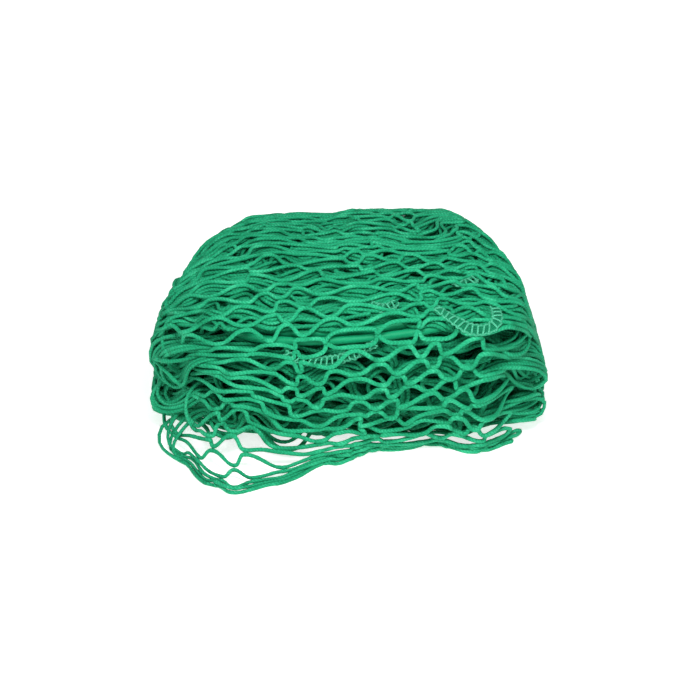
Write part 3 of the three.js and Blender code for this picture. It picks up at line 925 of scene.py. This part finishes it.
# %% [markdown]
# Real twine is longer than the straight way between two joints, so it bows and lies in waves. Each
# side of a mesh gets its own length: longer in the loose apron, longest at its right end, which
# hangs in loops, and nearly straight at the back.

# %% Lengths of the mesh sides
SLACK_SEED = 12
SLACK_SPREAD = 0.04
TAUT = 1.035  # a slack up to this doesn't vary
LOOSE_END = {"added": 0.24, "from": 40, "over": 60, "front": -85, "height": (20, 105)}


def side_lengths(points, rng):
    """Rest length of each step of each strand, in millimetres."""
    bar = step_lengths(points).reshape(STRANDS, -1, STEPS).sum(axis=2)
    slack = np.empty(bar.shape)
    for number, layer in enumerate(ALL_LAYERS):
        own = layer["slack"]
        by_station = column("slack", strands_across(number))[:, None]
        slack[:, side_layer == number] = by_station if own is None else own
    slack += np.abs(rng.normal(0, SLACK_SPREAD, bar.shape)) * (slack > TAUT)
    x, y, z = np.moveaxis(points[:, STEPS // 2 :: STEPS], -1, 0)
    low, high = LOOSE_END["height"]
    loose = np.clip((x - LOOSE_END["from"]) / LOOSE_END["over"], 0, 1)
    loose = loose * (y < LOOSE_END["front"]) * (z < high) * (z > low)
    slack += LOOSE_END["added"] * loose * (side_layer == LAST_LAYER)
    return np.repeat(bar * slack / STEPS, STEPS, axis=1)


start_rest = step_lengths(strands)
rest = side_lengths(strands, np.random.default_rng(SLACK_SEED))
print(f"twine in the net: {rest.sum() / 1000:.0f} m")

# %% [markdown]
# The simulation moves points, not forces. In each round every rule shifts the points a little
# towards what it asks for: twine keeps its length, bends softly, holds at its joints, isn't in
# other twine, cord or floor, and stays inside the bundle's form. Blender's own cloth would take
# minutes for so much twine and is hard to steer, while numpy does a whole rule at once.
# Twine can only be in other twine that is near, so near points are found first, with a grid.

# %% Find near points
HALF_OF_NEIGHBOURS = [(0, 0, 0), (0, 0, 1)] + [(0, 1, k) for k in (-1, 0, 1)]
HALF_OF_NEIGHBOURS += [(1, j, k) for j in (-1, 0, 1) for k in (-1, 0, 1)]


def near_pairs(points, reach):
    """Index pairs of points closer than reach, by sorting the points into cubes of that size."""
    cube = np.floor(points / reach).astype(np.int64)
    cube -= cube.min(axis=0) - 1
    size = cube.max(axis=0) + 2
    key = (cube[:, 0] * size[1] + cube[:, 1]) * size[2] + cube[:, 2]
    order = np.argsort(key, kind="stable")
    key = key[order]
    sorted_points = points[order]
    numbers = np.arange(len(points))
    found = []
    for dx, dy, dz in HALF_OF_NEIGHBOURS:
        other = key + (dx * size[1] + dy) * size[2] + dz
        first = np.searchsorted(key, other, "left")
        last = np.searchsorted(key, other, "right")
        if (dx, dy, dz) == (0, 0, 0):
            first = numbers + 1
        count = np.maximum(last - first, 0)
        a = np.repeat(numbers, count)
        b = np.arange(count.sum()) - np.repeat(np.cumsum(count) - count, count)
        b = b + np.repeat(first, count)
        gap = sorted_points[a] - sorted_points[b]
        close = np.einsum("ij,ij->i", gap, gap) < reach * reach
        found.append(np.stack([order[a[close]], order[b[close]]]))
    return np.concatenate(found, axis=1)


print("near pairs on the smoothed corner:", near_pairs(corner, 2.0).shape[1])

# %% [markdown]
# Three rules make a strand behave like twine. It keeps the length of each step, it resists sharp
# corners a little, and it stays with its neighbour at a joint, firmly at the joint itself and
# loosely one step before and after it. Every second step, and every second strand, is moved at a
# time, so that no point is pulled two ways at once.

# %% Rules of the twine
BEND = 0.16  # how much of a corner is straightened in each round
TINY = 1e-9
JOINT_HOLD = ((-1, 0.12), (1, 0.12), (0, 0.5))  # step from the joint, and strength


def keep_length(x, length):
    for start in (0, 1):
        a, b = x[:, start:-1:2], x[:, start + 1 :: 2]
        gap = b - a
        now = np.linalg.norm(gap, axis=2, keepdims=True)
        shift = 0.5 * gap * (1 - length[:, start::2, None] / np.maximum(now, TINY))
        a += shift
        b -= shift


def bend_softly(x):
    pull = BEND * (0.5 * (x[:, :-2] + x[:, 2:]) - x[:, 1:-1])
    x[:, 1:-1] += pull
    x[:, :-2] -= 0.5 * pull
    x[:, 2:] -= 0.5 * pull


def joint_table():
    """All joints in two halves, each a joint's first strand and its place along the strand."""
    rows = []
    for number, layer in enumerate(ALL_LAYERS):
        for bar in range(layer["bars"]):
            pairs = joined_at(number, bar)
            place = (FIRST_JOINT[number] + bar) * STEPS
            rows.append(np.stack([pairs, np.full(len(pairs), place)]))
    rows = np.concatenate(rows, axis=1)
    return [rows[:, rows[0] % 2 == parity] for parity in (0, 1)]


def hold_joints(x, joint_halves):
    for pairs, places in joint_halves:
        for step, strength in JOINT_HOLD:
            at = np.clip(places + step, 0, x.shape[1] - 1)
            gap = x[pairs + 1, at] - x[pairs, at]
            now = np.linalg.norm(gap, axis=1, keepdims=True)
            shift = strength * gap * (1 - JOINT_GAP / np.maximum(now, TINY))
            x[pairs, at] += shift
            x[pairs + 1, at] -= shift


print("joints in both halves:", [half.shape[1] for half in joint_table()])

# %% [markdown]
# The folded stack has a form of its own, which the twine may not leave: the cover's section for
# the upper half, read as a distance in every direction from the axis of the bundle, the floor, and
# two ends that lean inwards towards the top.

# %% The bundle's form
FORM_REACH = {"left": 189.0, "right": 191.0}
END_LIMIT = {"left": 194.0, "right": 190.0}
END_LEAN = {"left": (0.29, 75.0), "right": (0.32, 60.0)}  # how steep, and from what height

upper = section[:, 1] >= AXIS_Z
from_axis = section[upper] - (AXIS_Y, AXIS_Z)
form_angle = np.arctan2(from_axis[:, 1], from_axis[:, 0])
form_order = np.argsort(form_angle)
form_angle = form_angle[form_order]
form_reach = np.hypot(from_axis[:, 0], from_axis[:, 1])[form_order]


def leaned_in(end, z):
    lean, height = END_LEAN[end]
    return lean * np.maximum(0.0, z - height)


def stay_inside(x):
    y, z = x[..., 1] - AXIS_Y, x[..., 2] - AXIS_Z
    size = taper(np.clip(x[..., 0] / by_end(x[..., 0], FORM_REACH), -1, 1))
    limit = np.interp(np.arctan2(z, y), form_angle, form_reach)
    limit = (limit + top_step(x[..., 0])) * size
    reach = np.hypot(y, z)
    over = np.where((z > 0) & (reach > limit), limit / np.maximum(reach, TINY), 1.0)
    x[..., 1] = AXIS_Y + y * over
    x[..., 2] = np.maximum(AXIS_Z + z * over, TWINE / 2)
    slant = end_slant(x[..., 0], x[..., 1])
    left = leaned_in("left", x[..., 2]) - END_LIMIT["left"] * slant
    right = END_LIMIT["right"] * slant - leaned_in("right", x[..., 2])
    x[..., 0] = np.clip(x[..., 0], left, right)


print(f"the form reaches {form_reach.min():.0f} to {form_reach.max():.0f} mm from the axis")

# %% [markdown]
# Twine is soft but takes up room. Points and the middles of the steps between them are treated as
# small balls, and so are the cords and the stitched bands, which don't move.

# %% Balls that may touch
CONTACT = TWINE * 0.96  # soft twine gives way a little
BAND_BODY = 3.0  # how thick a stitched band is for the twine beside it
OBSTACLE_STEP = 2

cord_balls = np.concatenate([path[::OBSTACLE_STEP] for path in cord_paths.values()])
band_balls = np.concatenate([line[::OBSTACLE_STEP] for line, _, _ in band_lines.values()])
obstacles = np.concatenate([cord_balls, band_balls])
obstacle_radius = np.repeat((CORD_DIAMETER / 2, BAND_BODY / 2), (len(cord_balls), len(band_balls)))


def contact_points(x):
    """The points that may touch: all points, the middles of the steps, then the obstacles."""
    middle = 0.5 * (x[:, :-1] + x[:, 1:])
    return np.concatenate([x.reshape(-1, 3), middle.reshape(-1, 3), obstacles])


def contact_table(x):
    """Strand, place along it and radius of every contact point."""
    count = len(obstacles)
    strand, place = np.meshgrid(np.arange(STRANDS), np.arange(x.shape[1]), indexing="ij")
    middles = 2 * place[:, :-1].ravel() + 1
    strand = np.concatenate([strand.ravel(), strand[:, :-1].ravel(), np.arange(-count, 0)])
    place = np.concatenate([2 * place.ravel(), middles, np.zeros(count, int)])
    radius = np.concatenate([np.full(len(strand) - count, CONTACT / 2), obstacle_radius])
    return strand, place, radius


print(f"{len(cord_balls)} balls along the cords and {len(band_balls)} along the bands")

# %% [markdown]
# Balls that overlap are pushed apart, each by half of the overlap. Balls that follow each other on
# one strand always touch, so they don't count, and a ball with many contacts takes only a share of
# each push, or the pile would shake.

# %% Contact
SEARCH_MARGIN = 2.6  # how much further near pairs are looked for
OWN_STEPS = 4  # half steps along the same strand that don't count as contact
PUSH_SHARE = 0.6
LEAST_GAP = 1e-6


def contact_pairs(x, strand, place):
    a, b = near_pairs(contact_points(x), CONTACT + SEARCH_MARGIN)
    apart = (strand[a] != strand[b]) | (np.abs(place[a] - place[b]) > OWN_STEPS)
    keep = apart & ~((strand[a] < 0) & (strand[b] < 0))
    return a[keep], b[keep]


def push_apart(x, pairs, radius):
    """Moves twine out of twine, cord and stitching, and tells how many pairs touched."""
    points = contact_points(x)
    size = len(points)
    a, b = pairs
    gap = points[a] - points[b]
    space = np.sqrt(np.einsum("ij,ij->i", gap, gap))
    wanted = radius[a] + radius[b]
    touching = np.flatnonzero(space < wanted)
    a, b, gap, wanted = a[touching], b[touching], gap[touching], wanted[touching]
    space = np.maximum(space[touching], LEAST_GAP)
    shift = gap * (0.5 * (wanted - space) / space)[:, None]
    total = [np.bincount(a, s, size) - np.bincount(b, s, size) for s in shift.T]
    times = np.bincount(a, minlength=size) + np.bincount(b, minlength=size)
    total = np.stack(total, axis=1) / np.maximum(1.0, PUSH_SHARE * times)[:, None]
    count = x.shape[0] * x.shape[1]
    half = 0.5 * total[count : size - len(obstacles)].reshape(x.shape[0], x.shape[1] - 1, 3)
    x += total[:count].reshape(x.shape)
    x[:, :-1] += half
    x[:, 1:] += half
    return len(touching)


print("near pairs at the start:", len(contact_pairs(strands, *contact_table(strands)[:2])[0]))

# %% [markdown]
# Left to itself, the pile would drift apart. So each point is also drawn a little to where it was
# laid: weakly inside the stack, and firmly beside the slot and at the hem, whose lines are known
# best. At the panel's two edges the last meshes are closed.

# %% Where the strands are held
HOLD = {"inner": 0.008, "cover": 0.02, "slot": 0.15, "hem": 0.08}
HEM_STRANDS = 6
HELD_AT_SLOT = slice(BROW_STRAND - 1, BROW_STRAND + 3)


def hold_table():
    """How strongly each point is drawn to where it was laid."""
    hold = np.where(point_layer < INNER_COUNT, HOLD["inner"], HOLD["cover"])
    hold = hold[None].repeat(STRANDS, axis=0)
    outermost = point_layer == LAST_LAYER
    hold[-HEM_STRANDS:, outermost] = HOLD["hem"]
    hold[HELD_AT_SLOT, outermost] = HOLD["slot"]
    return hold[..., None]


def close_edges(x):
    """Brings two strands' ends together at both edges of the panel, to close the last meshes."""
    for at, first in ((0, 0), (-1, (joint_count - 1) % 2)):
        middle = (x[first:-1:2, at] + x[first + 1 :: 2, at]) / 2
        x[first:-1:2, at] = middle
        x[first + 1 :: 2, at] = middle


holds, counts = np.unique(hold_table(), return_counts=True)
print("points with each hold:", dict(zip(holds.tolist(), counts.tolist())))

# %% [markdown]
# Now the rules take turns. The twine starts at its laid-out length and grows to its slack over the
# first half of the rounds, so that it bows slowly into the room that it finds. A small wobble at
# the start keeps the strands from all bowing the same way. A last pass takes out the sharp corners
# that slack twine doesn't have, but leaves the tight bends at both ends alone.

# %% Let the strands settle
ROUNDS, GROW_ROUNDS = 220, 110
FIND_EVERY, REPORT_EVERY = 10, 40
FALL = 0.02  # how far the twine sinks in each round
WOBBLE, WOBBLE_SEED = 1.2, 7
SOFTEN = {"share": 0.45, "up_to": 170.0, "fade": 30.0}


def settle(x, rng):
    home = x.copy()
    wobble = rng.normal(0, WOBBLE, x.shape)
    wobble[:, 1:-1] = 0.25 * wobble[:, :-2] + 0.5 * wobble[:, 1:-1] + 0.25 * wobble[:, 2:]
    x = x + wobble
    hold, joint_halves = hold_table(), joint_table()
    strand, place, radius = contact_table(x)
    for turn in range(ROUNDS):
        length = start_rest + (rest - start_rest) * min(1.0, turn / GROW_ROUNDS)
        x += hold * (home - x)
        x[..., 2] -= FALL
        if turn % FIND_EVERY == 0:
            pairs = contact_pairs(x, strand, place)
        touching = push_apart(x, pairs, radius)
        hold_joints(x, joint_halves)
        bend_softly(x)
        keep_length(x, length)
        stay_inside(x)
        if turn % REPORT_EVERY == 0 or turn == ROUNDS - 1:
            print(f"round {turn}: {touching} contacts of {len(pairs[0])} near pairs")
    close_edges(x)
    return x


def soften(x):
    """Takes the sharp corners out of the lines, but keeps the bends at the ends."""
    inside = (SOFTEN["up_to"] - np.abs(x[:, 1:-1, :1])) / SOFTEN["fade"]
    amount = SOFTEN["share"] * np.clip(inside, 0, 1)
    x[:, 1:-1] += amount * (0.5 * (x[:, :-2] + x[:, 2:]) - x[:, 1:-1])
    return x


wobble_rng = np.random.default_rng(WOBBLE_SEED)
settled = soften(settle(strands, wobble_rng))
print(f"settled twine: {step_lengths(settled).sum() / 1000:.0f} m")

# %% [markdown]
# The stitched corner lies on the cover, where the border turns over. The twine has moved since its
# route was laid, so the band is lowered until it touches what settled under it, and sinks in a
# little between the twines. The drop is evened out along the band, because a border is stiff.

# %% Seat the bands
BAND_WIDTH = 11.0
CORE_THREAD, SIDE_THREAD, RUNG_THREAD = 2.4, 2.2, 1.8
SEAT = {"depth": 1.6, "search": 16.0, "lowest": 6.0, "even_over": 9}


def seated(line, normal, over):
    """The line lowered along the outward direction until the band touches the twine under it."""
    twine = settled.reshape(-1, 3)
    drop = np.zeros(len(line))
    for k, (point, up) in enumerate(zip(line, normal)):
        offset = twine - point
        height = offset @ up
        beside = np.linalg.norm(offset - height[:, None] * up, axis=1)
        below = (beside < BAND_WIDTH / 2) & (height > -SEAT["search"]) & (height < CORE_THREAD)
        highest = np.max(height[below], initial=-SEAT["lowest"])
        drop[k] = highest + TWINE / 2 + CORE_THREAD / 2 - SEAT["depth"]
    count = SEAT["even_over"]
    drop = np.pad(drop, count // 2, mode="edge")
    drop = np.convolve(drop, np.full(count, 1 / count), mode="valid")
    return line + (drop * np.clip(over, 0, 1))[:, None] * normal


for node, (line, normal, over) in band_lines.items():
    if over.max() > 0:
        band_lines[node] = seated(line, normal, over), normal, over
        moved = np.linalg.norm(band_lines[node][0] - line, axis=1).max()
        print(f"{node}: moved by up to {moved:.1f} mm")

# %% [markdown]
# Overlock stitching is thread that runs over and round an edge. A texture would look printed on,
# so each length is made of thread: a flat core of two soft threads, or four at the corner, green
# like the twine but painted darker as shade between the rungs, a pale thread along both sides, and
# a pale rung over the top every few millimetres, like a small ladder. The rungs are a little
# slanted and uneven, as sewn ones are.

# %% Stitched border
THREAD_SIDES = 8
# The cores' low shade paints them darker than the twine: painted shade between the rungs.
CORES = {"offsets": (-0.5, 0.5), "shade": 0.05}
CORNER_CORES = {"offsets": (-0.72, -0.24, 0.24, 0.72), "shade": 0.06}
PALE = 1.0
BAND_ENDS = {"least": 0.4, "more": 0.6, "power": 0.6}  # a band narrows towards both ends
BAND_UNEVEN, UNEVEN_CELLS = 0.12, 12
RUNG_STEP, RUNG_POINTS, LAST_RUNG = 5.4, 9, 1.0
RUNG_SLANT = (0.8, 1.2)  # mean and spread
RUNG_WIDTH = (0.95, 1.15)
RUNG_DROP = {"depth": 2.2, "power": 6}  # how a rung turns down at both sides
SIDE_WAVE = 0.7


def rung_lines(rng, reach, half, line, across, normal):
    """Rungs over the band, from one side to the other."""
    share = np.linspace(-1, 1, RUNG_POINTS)
    turned_down = RUNG_DROP["depth"] * np.abs(share[:, None]) ** RUNG_DROP["power"]
    rise = CORE_THREAD / 2 + RUNG_THREAD / 2 - turned_down
    rungs = []
    for start in np.arange(RUNG_STEP / 2, reach[-1] - LAST_RUNG, RUNG_STEP):
        at = np.clip(start + rng.normal(*RUNG_SLANT) * share, 0, reach[-1])
        middle, side, up = (np.stack([np.interp(at, reach, v[:, k]) for k in range(3)], axis=1)
                            for v in (line, across, normal))
        width = np.interp(at, reach, half) * rng.uniform(*RUNG_WIDTH)
        rungs.append(middle + (width * share)[:, None] * side + rise * up)
    return np.stack(rungs)


def make_band(node, line, normal):
    cores = CORNER_CORES if node == "stitched_edge_corner" else CORES
    across = unit(np.cross(normal, unit(np.gradient(line, axis=0))))
    reach = length_along(line)
    rng = np.random.default_rng(len(line))
    full = np.sin(math.pi * reach / reach[-1]) ** BAND_ENDS["power"]
    half = (BAND_WIDTH / 2 - SIDE_THREAD / 2) * (BAND_ENDS["least"] + BAND_ENDS["more"] * full)
    half *= 1 + BAND_UNEVEN * soft_noise(rng, 1, len(line), 1, UNEVEN_CELLS)[0]
    core = np.stack([line + offset * half[:, None] * across for offset in cores["offsets"]])
    wave = SIDE_WAVE * np.sin(2 * math.pi * reach / RUNG_STEP)
    sides = np.stack([line + (side * (half + wave))[:, None] * across for side in (-1, 1)])
    rungs = rung_lines(rng, reach, half, line, across, normal)
    threads = ((core, CORE_THREAD, cores["shade"]), (sides, SIDE_THREAD, PALE),
               (rungs, RUNG_THREAD, PALE))
    band = tube_object(node + "_overlock", [
        {"lines": lines, "radius": thread / 2, "sides": THREAD_SIDES, "shade": shade}
        for lines, thread, shade in threads])
    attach(band, "root")
    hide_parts(node)
    return band


bands = {node: make_band(node, line, normal) for node, (line, normal, _) in band_lines.items()}

# %% [markdown]
# Braided twine isn't even. Every joint swells a little, because two twines are knitted into one
# there, and the twine is drawn thinner towards the back and at the hem, where it is stretched. Its
# shade is painted darker the deeper a layer lies, as painted shade deep in the bundle, but not at
# both ends of the bundle, where the folds lie open, and it varies along each strand, as dye does.

# %% Thickness and shade of the twine
TWINE_STEPS = 2
JOINT_SWELL = {"more": 0.14, "over": 0.8, "uneven": 0.045}
THIN_BACK = ((-110, -80, 60, 125), (1.0, 0.95, 0.8, 0.74))  # along Y
THIN_FRONT = {"y": -80, "along": ((-150, 100), (0.92, 1.05)), "low": ((6, 20), (0.86, 1.0))}
# The deeper layers are painted darker, as painted shade; at both open ends this fades to
# OPEN_SHADE.
OPEN_SHADE, OPEN_FROM, OPEN_OVER = 0.6, 135, 25  # of twine that lies open at both ends
SHADE_SPREAD, SHADE_CELLS = 0.2, (40, 60)
LEAST_RADIUS = 1.0  # of twine that lies on the floor


def twine_radius(rng, first, lines):
    """Half the thickness of the twine at each point of the lines."""
    number = (first + np.arange(lines.shape[1]) / TWINE_STEPS) / STEPS
    joint_gap = np.abs(number - np.round(number)) * STEPS
    swell = 1 + JOINT_SWELL["more"] * np.exp(-(joint_gap**2) / JOINT_SWELL["over"])
    swell = swell + rng.normal(0, JOINT_SWELL["uneven"], lines.shape[:2])
    x, y, z = np.moveaxis(lines, -1, 0)
    swell *= np.interp(y, *THIN_BACK)
    front = np.interp(x, *THIN_FRONT["along"]) * np.interp(z, *THIN_FRONT["low"])
    swell *= np.where(y < THIN_FRONT["y"], front, 1.0)
    return np.minimum(TWINE / 2 * swell, np.maximum(z, LEAST_RADIUS))


def painted_shade_and_dye(rng, depth, lines):
    """Painted shade by the twine's depth in the bundle, and dye that varies along each strand."""
    open_end = np.clip((np.abs(lines[..., 0]) - OPEN_FROM) / OPEN_OVER, 0, 1)
    shade = depth + (OPEN_SHADE - depth) * open_end
    shade = shade + SHADE_SPREAD * soft_noise(rng, STRANDS, lines.shape[1], *SHADE_CELLS)
    return np.clip(shade, 0, 1)


print("thickness from the front to the back:", (TWINE * np.array(THIN_BACK[1])).round(2))

# %% [markdown]
# The settled lines become twine. The outermost layer is seen close by, so its twine gets eight
# sides, while five do for the layers behind it. Five meshes hold two layers each, and a sixth holds
# the outermost one, to keep each of them small. They all stand for one panel, whose solid is
# hidden.

# %% Twine from the settled lines
# depth is painted shade: the deeper layers are painted darker, where shade falls in the bundle.
PIECES = {  # layers, and the shade of the twine: what lies deeper is darker
    "netting_floor": {"layers": (0, 1), "depth": 0.2},
    "netting_low": {"layers": (2, 3), "depth": 0.2},
    "netting_middle": {"layers": (4, 5), "depth": 0.2},
    "netting_high": {"layers": (6, 7), "depth": 0.2},
    "netting_under": {"layers": (8, 9), "depth": 0.42},
    "netting_cover": {"layers": (10,), "depth": 0.62, "sides": 8, "sewn_on": list(bands.values())},
}


def twine_piece(name, layers, depth, sides=5, sewn_on=()):
    at = np.flatnonzero(np.isin(point_layer, layers))
    first, last = at[0], min(at[-1] + 1, settled.shape[1] - 1)
    lines = smooth_line(settled[:, first : last + 1], TWINE_STEPS)
    rng = np.random.default_rng(layers[0])
    radius = twine_radius(rng, first, lines)
    # painted shade by depth, lifted at the open ends, plus dye that varies along each strand
    shade = painted_shade_and_dye(rng, depth, lines)
    piece = tube_object(name, [{"lines": lines, "radius": radius, "sides": sides, "shade": shade}])
    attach(piece, "root")
    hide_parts("net_panel")
    twine = float(step_lengths(lines).sum()) * MM
    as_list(sewn_on)
    return piece


netting = {name: twine_piece(name, **made) for name, made in PIECES.items()}

# %% [markdown]
# The bundle lies on a plain, pale floor, as in a product picture. The floor glows a little, so that
# it comes out nearly white without more light on the net. It is declared as stage, because it is no
# piece of the net.

# %% Floor
FLOOR_SIZE = 20.0
FLOOR_FINISH = {"Base Color": (0.8, 0.8, 0.8, 1), "Roughness": 0.9,
                "Emission Color": (1, 1, 1, 1), "Emission Strength": 0.7}


def set_inputs(node, values):
    for name, value in values.items():
        node.inputs[name].default_value = value


def make_floor():
    bm = bmesh.new()
    bmesh.ops.create_grid(bm, x_segments=1, y_segments=1, size=FLOOR_SIZE)
    mesh = bpy.data.meshes.new("floor")
    bm.to_mesh(mesh)
    bm.free()
    floor = add_object("floor", mesh)
    material = bpy.data.materials.new("pale_floor")
    material.use_nodes = True
    set_inputs(material.node_tree.nodes["Principled BSDF"], FLOOR_FINISH)
    mesh.materials.append(material)
    floor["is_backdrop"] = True
    return floor


print("floor:", make_floor().dimensions.x, "m wide")

# %% [markdown]
# A near softbox above the front lights the apron and the slot most and leaves the gaps between the
# twines dark. A weak sun lifts the top, and three more from the sides and the back keep the ends
# from going black. The sky adds a little light from everywhere.

# %% Light
SOFTBOX = {"place": (0.03, -0.37, 0.555), "aim": (0.0, -0.06, 0.09), "size": 0.2, "power": 3.2}
SUNS = {  # direction, strength, and how wide the light is in degrees
    "key": ((0.02, 0.3, -0.95), 0.3, 20),
    "fill_right": ((-0.9, 0.4, -0.2), 1.3, 50),
    "fill_left": ((0.9, 0.4, -0.2), 1.3, 50),
    "fill_back": ((0.0, -0.98, -0.1), 0.4, 50),
}
SKY = {"Color": (1, 1, 1, 1), "Strength": 0.2}


def make_sun(name, direction, strength, softness):
    """Soft light of one direction, the same all over the floor."""
    data = bpy.data.lights.new(name, "SUN")
    data.energy = strength
    data.angle = math.radians(softness)
    look_along(add_object(name, data), direction)


def make_softbox(name, place, aim, size, power):
    """A near, square light: what lies further from it is darker."""
    data = bpy.data.lights.new(name, "AREA")
    data.size = size
    data.energy = power
    light = add_object(name, data)
    light.location = place
    look_along(light, Vector(aim) - Vector(place))


make_softbox("softbox", **SOFTBOX)
for name, sun in SUNS.items():
    make_sun(name, *sun)
world = bpy.data.worlds.new("studio")
world.use_nodes = True
set_inputs(world.node_tree.nodes["Background"], SKY)
bpy.context.scene.world = world
bpy.context.scene.view_settings.view_transform = "Standard"
print("lights: softbox,", ", ".join(SUNS))

# %% [markdown]
# Up close the twine is a braid of slanted stitches. Modelled stitches would take millions of
# faces, so they are drawn by the finish, from the twine's own UV map: waves along the twine that
# lean one way and then the other round it. Some noise on Object coordinates makes them uneven.

# %% Braid
BRAID_LEAN = 0.7
BRAID_UNEVEN, BRAID_NOISE_SCALE = 0.9, 220.0
PLAIT_EDGE, PLAIT_MIDDLE = 0.4, 0.6  # the ridges are lower where two plaits meet


def calc(tree, operation, *values):
    """The output of a maths node, with numbers or other nodes' outputs put in."""
    node = tree.nodes.new("ShaderNodeMath")
    node.operation = operation
    for socket, value in zip(node.inputs, values):
        if isinstance(value, (int, float)):
            socket.default_value = value
        else:
            tree.links.new(value, socket)
    return node.outputs[0]


def object_noise(tree, scale, detail=2.0):
    """Fine noise that stays on the piece."""
    place = tree.nodes.new("ShaderNodeTexCoord")
    noise = tree.nodes.new("ShaderNodeTexNoise")
    set_inputs(noise, {"Scale": scale, "Detail": detail})
    tree.links.new(place.outputs["Object"], noise.inputs["Vector"])
    return noise.outputs["Fac"]


def braid_height(tree, plaits, stitch):
    """Height of a braid: slanted stitches, a number of millimetres apart, in plaits round it."""
    uv = tree.nodes.new("ShaderNodeUVMap")
    uv.uv_map = "twine"
    split = tree.nodes.new("ShaderNodeSeparateXYZ")
    tree.links.new(uv.outputs["UV"], split.inputs[0])
    turns = calc(tree, "MULTIPLY", split.outputs["X"], 2 * plaits)
    around = calc(tree, "PINGPONG", turns, 1.0)
    stitches = calc(tree, "DIVIDE", split.outputs["Y"], stitch)
    phase = calc(tree, "ADD", stitches, calc(tree, "MULTIPLY", around, BRAID_LEAN))
    uneven = object_noise(tree, BRAID_NOISE_SCALE)
    phase = calc(tree, "MULTIPLY_ADD", uneven, BRAID_UNEVEN, phase)
    wave = calc(tree, "SINE", calc(tree, "MULTIPLY", phase, 2 * math.pi))
    ridge = calc(tree, "MULTIPLY_ADD", wave, 0.5, 0.5)
    plait = calc(tree, "MULTIPLY_ADD", around, PLAIT_MIDDLE, PLAIT_EDGE)
    return calc(tree, "MULTIPLY", ridge, plait)


print("a stitch leans over", BRAID_LEAN, "of its length across a plait")

# %% [markdown]
# Three finishes share that braid. The net is matt green twine whose dye varies along each strand.
# Its deeper layers are painted darker, as painted shade, and in all three finishes the braid's
# grooves are painted darker and its ridges paler, which is painted shade too. The drawcord is
# braided so finely that it looks smooth, with a slight sheen. The stitching goes from a dark core,
# painted darker than the twine as shade between the rungs, to pale thread. A ramp of three colours
# does all of this: shade, braid and fuzz are added up, and the sum picks the colour.

# %% Finishes
# BRAID_PAINTED_SHADE paints the braid's grooves darker and its ridges paler: painted shade.
SHADE_PART, BRAID_PAINTED_SHADE = 0.5, 0.28
FUZZ = {"scale": 700.0, "part": 0.5, "offset": -0.2}
SHEEN = {"Sheen Weight": 0.04, "Sheen Roughness": 0.5, "Sheen Tint": (0.3, 0.9, 0.6, 1)}
BUMP_DISTANCE = 0.0012
FINISHES = {  # dark, middle and pale colour, and the braid
    "green_twine": {
        "colours": ((0.0, 0.115, 0.042), (0.013, 0.34, 0.16), (0.075, 0.6, 0.32)),
        "plaits": 2, "stitch": 3.4, "depth": 0.4, "roughness": 0.68, "specular": 0.1,
    },
    "smooth_cord": {
        "colours": ((0.001, 0.2, 0.08), (0.005, 0.32, 0.14), (0.02, 0.46, 0.22)),
        "plaits": 6, "stitch": 1.6, "depth": 0.08, "roughness": 0.56, "specular": 0.16,
    },
    # The dark colour, on the cores, is darker than the twine: painted shade between the rungs.
    "pale_stitching": {
        "colours": ((0.002, 0.15, 0.065), (0.018, 0.26, 0.13), (0.16, 0.68, 0.44)),
        "plaits": 1, "stitch": 1.4, "depth": 0.3, "roughness": 0.68, "specular": 0.1,
    },
}


def colour_ramp(tree, dark, middle, pale):
    ramp = tree.nodes.new("ShaderNodeValToRGB")
    ramp.color_ramp.elements[0].color = (*dark, 1)
    ramp.color_ramp.elements[1].color = (*pale, 1)
    ramp.color_ramp.elements.new(0.5).color = (*middle, 1)
    return ramp


def twine_material(name, colours, plaits, stitch, depth, roughness, specular):
    material = bpy.data.materials.new(name)
    material.use_nodes = True
    tree = material.node_tree
    shader = tree.nodes["Principled BSDF"]
    set_inputs(shader, {"Roughness": roughness, "Specular IOR Level": specular, **SHEEN})
    height = braid_height(tree, plaits, stitch)
    tint = tree.nodes.new("ShaderNodeAttribute")
    tint.attribute_name = "shade"
    fuzz = calc(tree, "MULTIPLY_ADD", object_noise(tree, FUZZ["scale"]), FUZZ["part"],
                FUZZ["offset"])
    # The sum: the shade attribute, with the deeper layers' painted shade, and the braid's painted
    # shade.
    mixed = calc(tree, "ADD", calc(tree, "MULTIPLY", tint.outputs["Fac"], SHADE_PART),
                 calc(tree, "MULTIPLY", height, BRAID_PAINTED_SHADE))
    colour = colour_ramp(tree, *colours)
    tree.links.new(calc(tree, "ADD", mixed, fuzz), colour.inputs["Fac"])
    tree.links.new(colour.outputs["Color"], shader.inputs["Base Color"])
    bump = tree.nodes.new("ShaderNodeBump")
    set_inputs(bump, {"Strength": depth, "Distance": BUMP_DISTANCE})
    tree.links.new(height, bump.inputs["Height"])
    tree.links.new(bump.outputs["Normal"], shader.inputs["Normal"])
    return material


for pieces, (name, finish) in zip((netting, cords, bands), FINISHES.items()):
    material = twine_material(name, **finish)
    for piece in pieces.values():
        piece.data.materials.append(material)
    print(f"{name}: on {len(pieces)} pieces")

# %% [markdown]
# At the end the size of the finished pieces is printed beside that of the solids, so that the two
# can be compared.

# %% Sizes
boxes = {"cad": cad_box, "visual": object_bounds()}
{name: [[float(x) for x in corner] for corner in box] for name, box in boxes.items()}
print("boxes of the solids and of the finished pieces:", boxes)
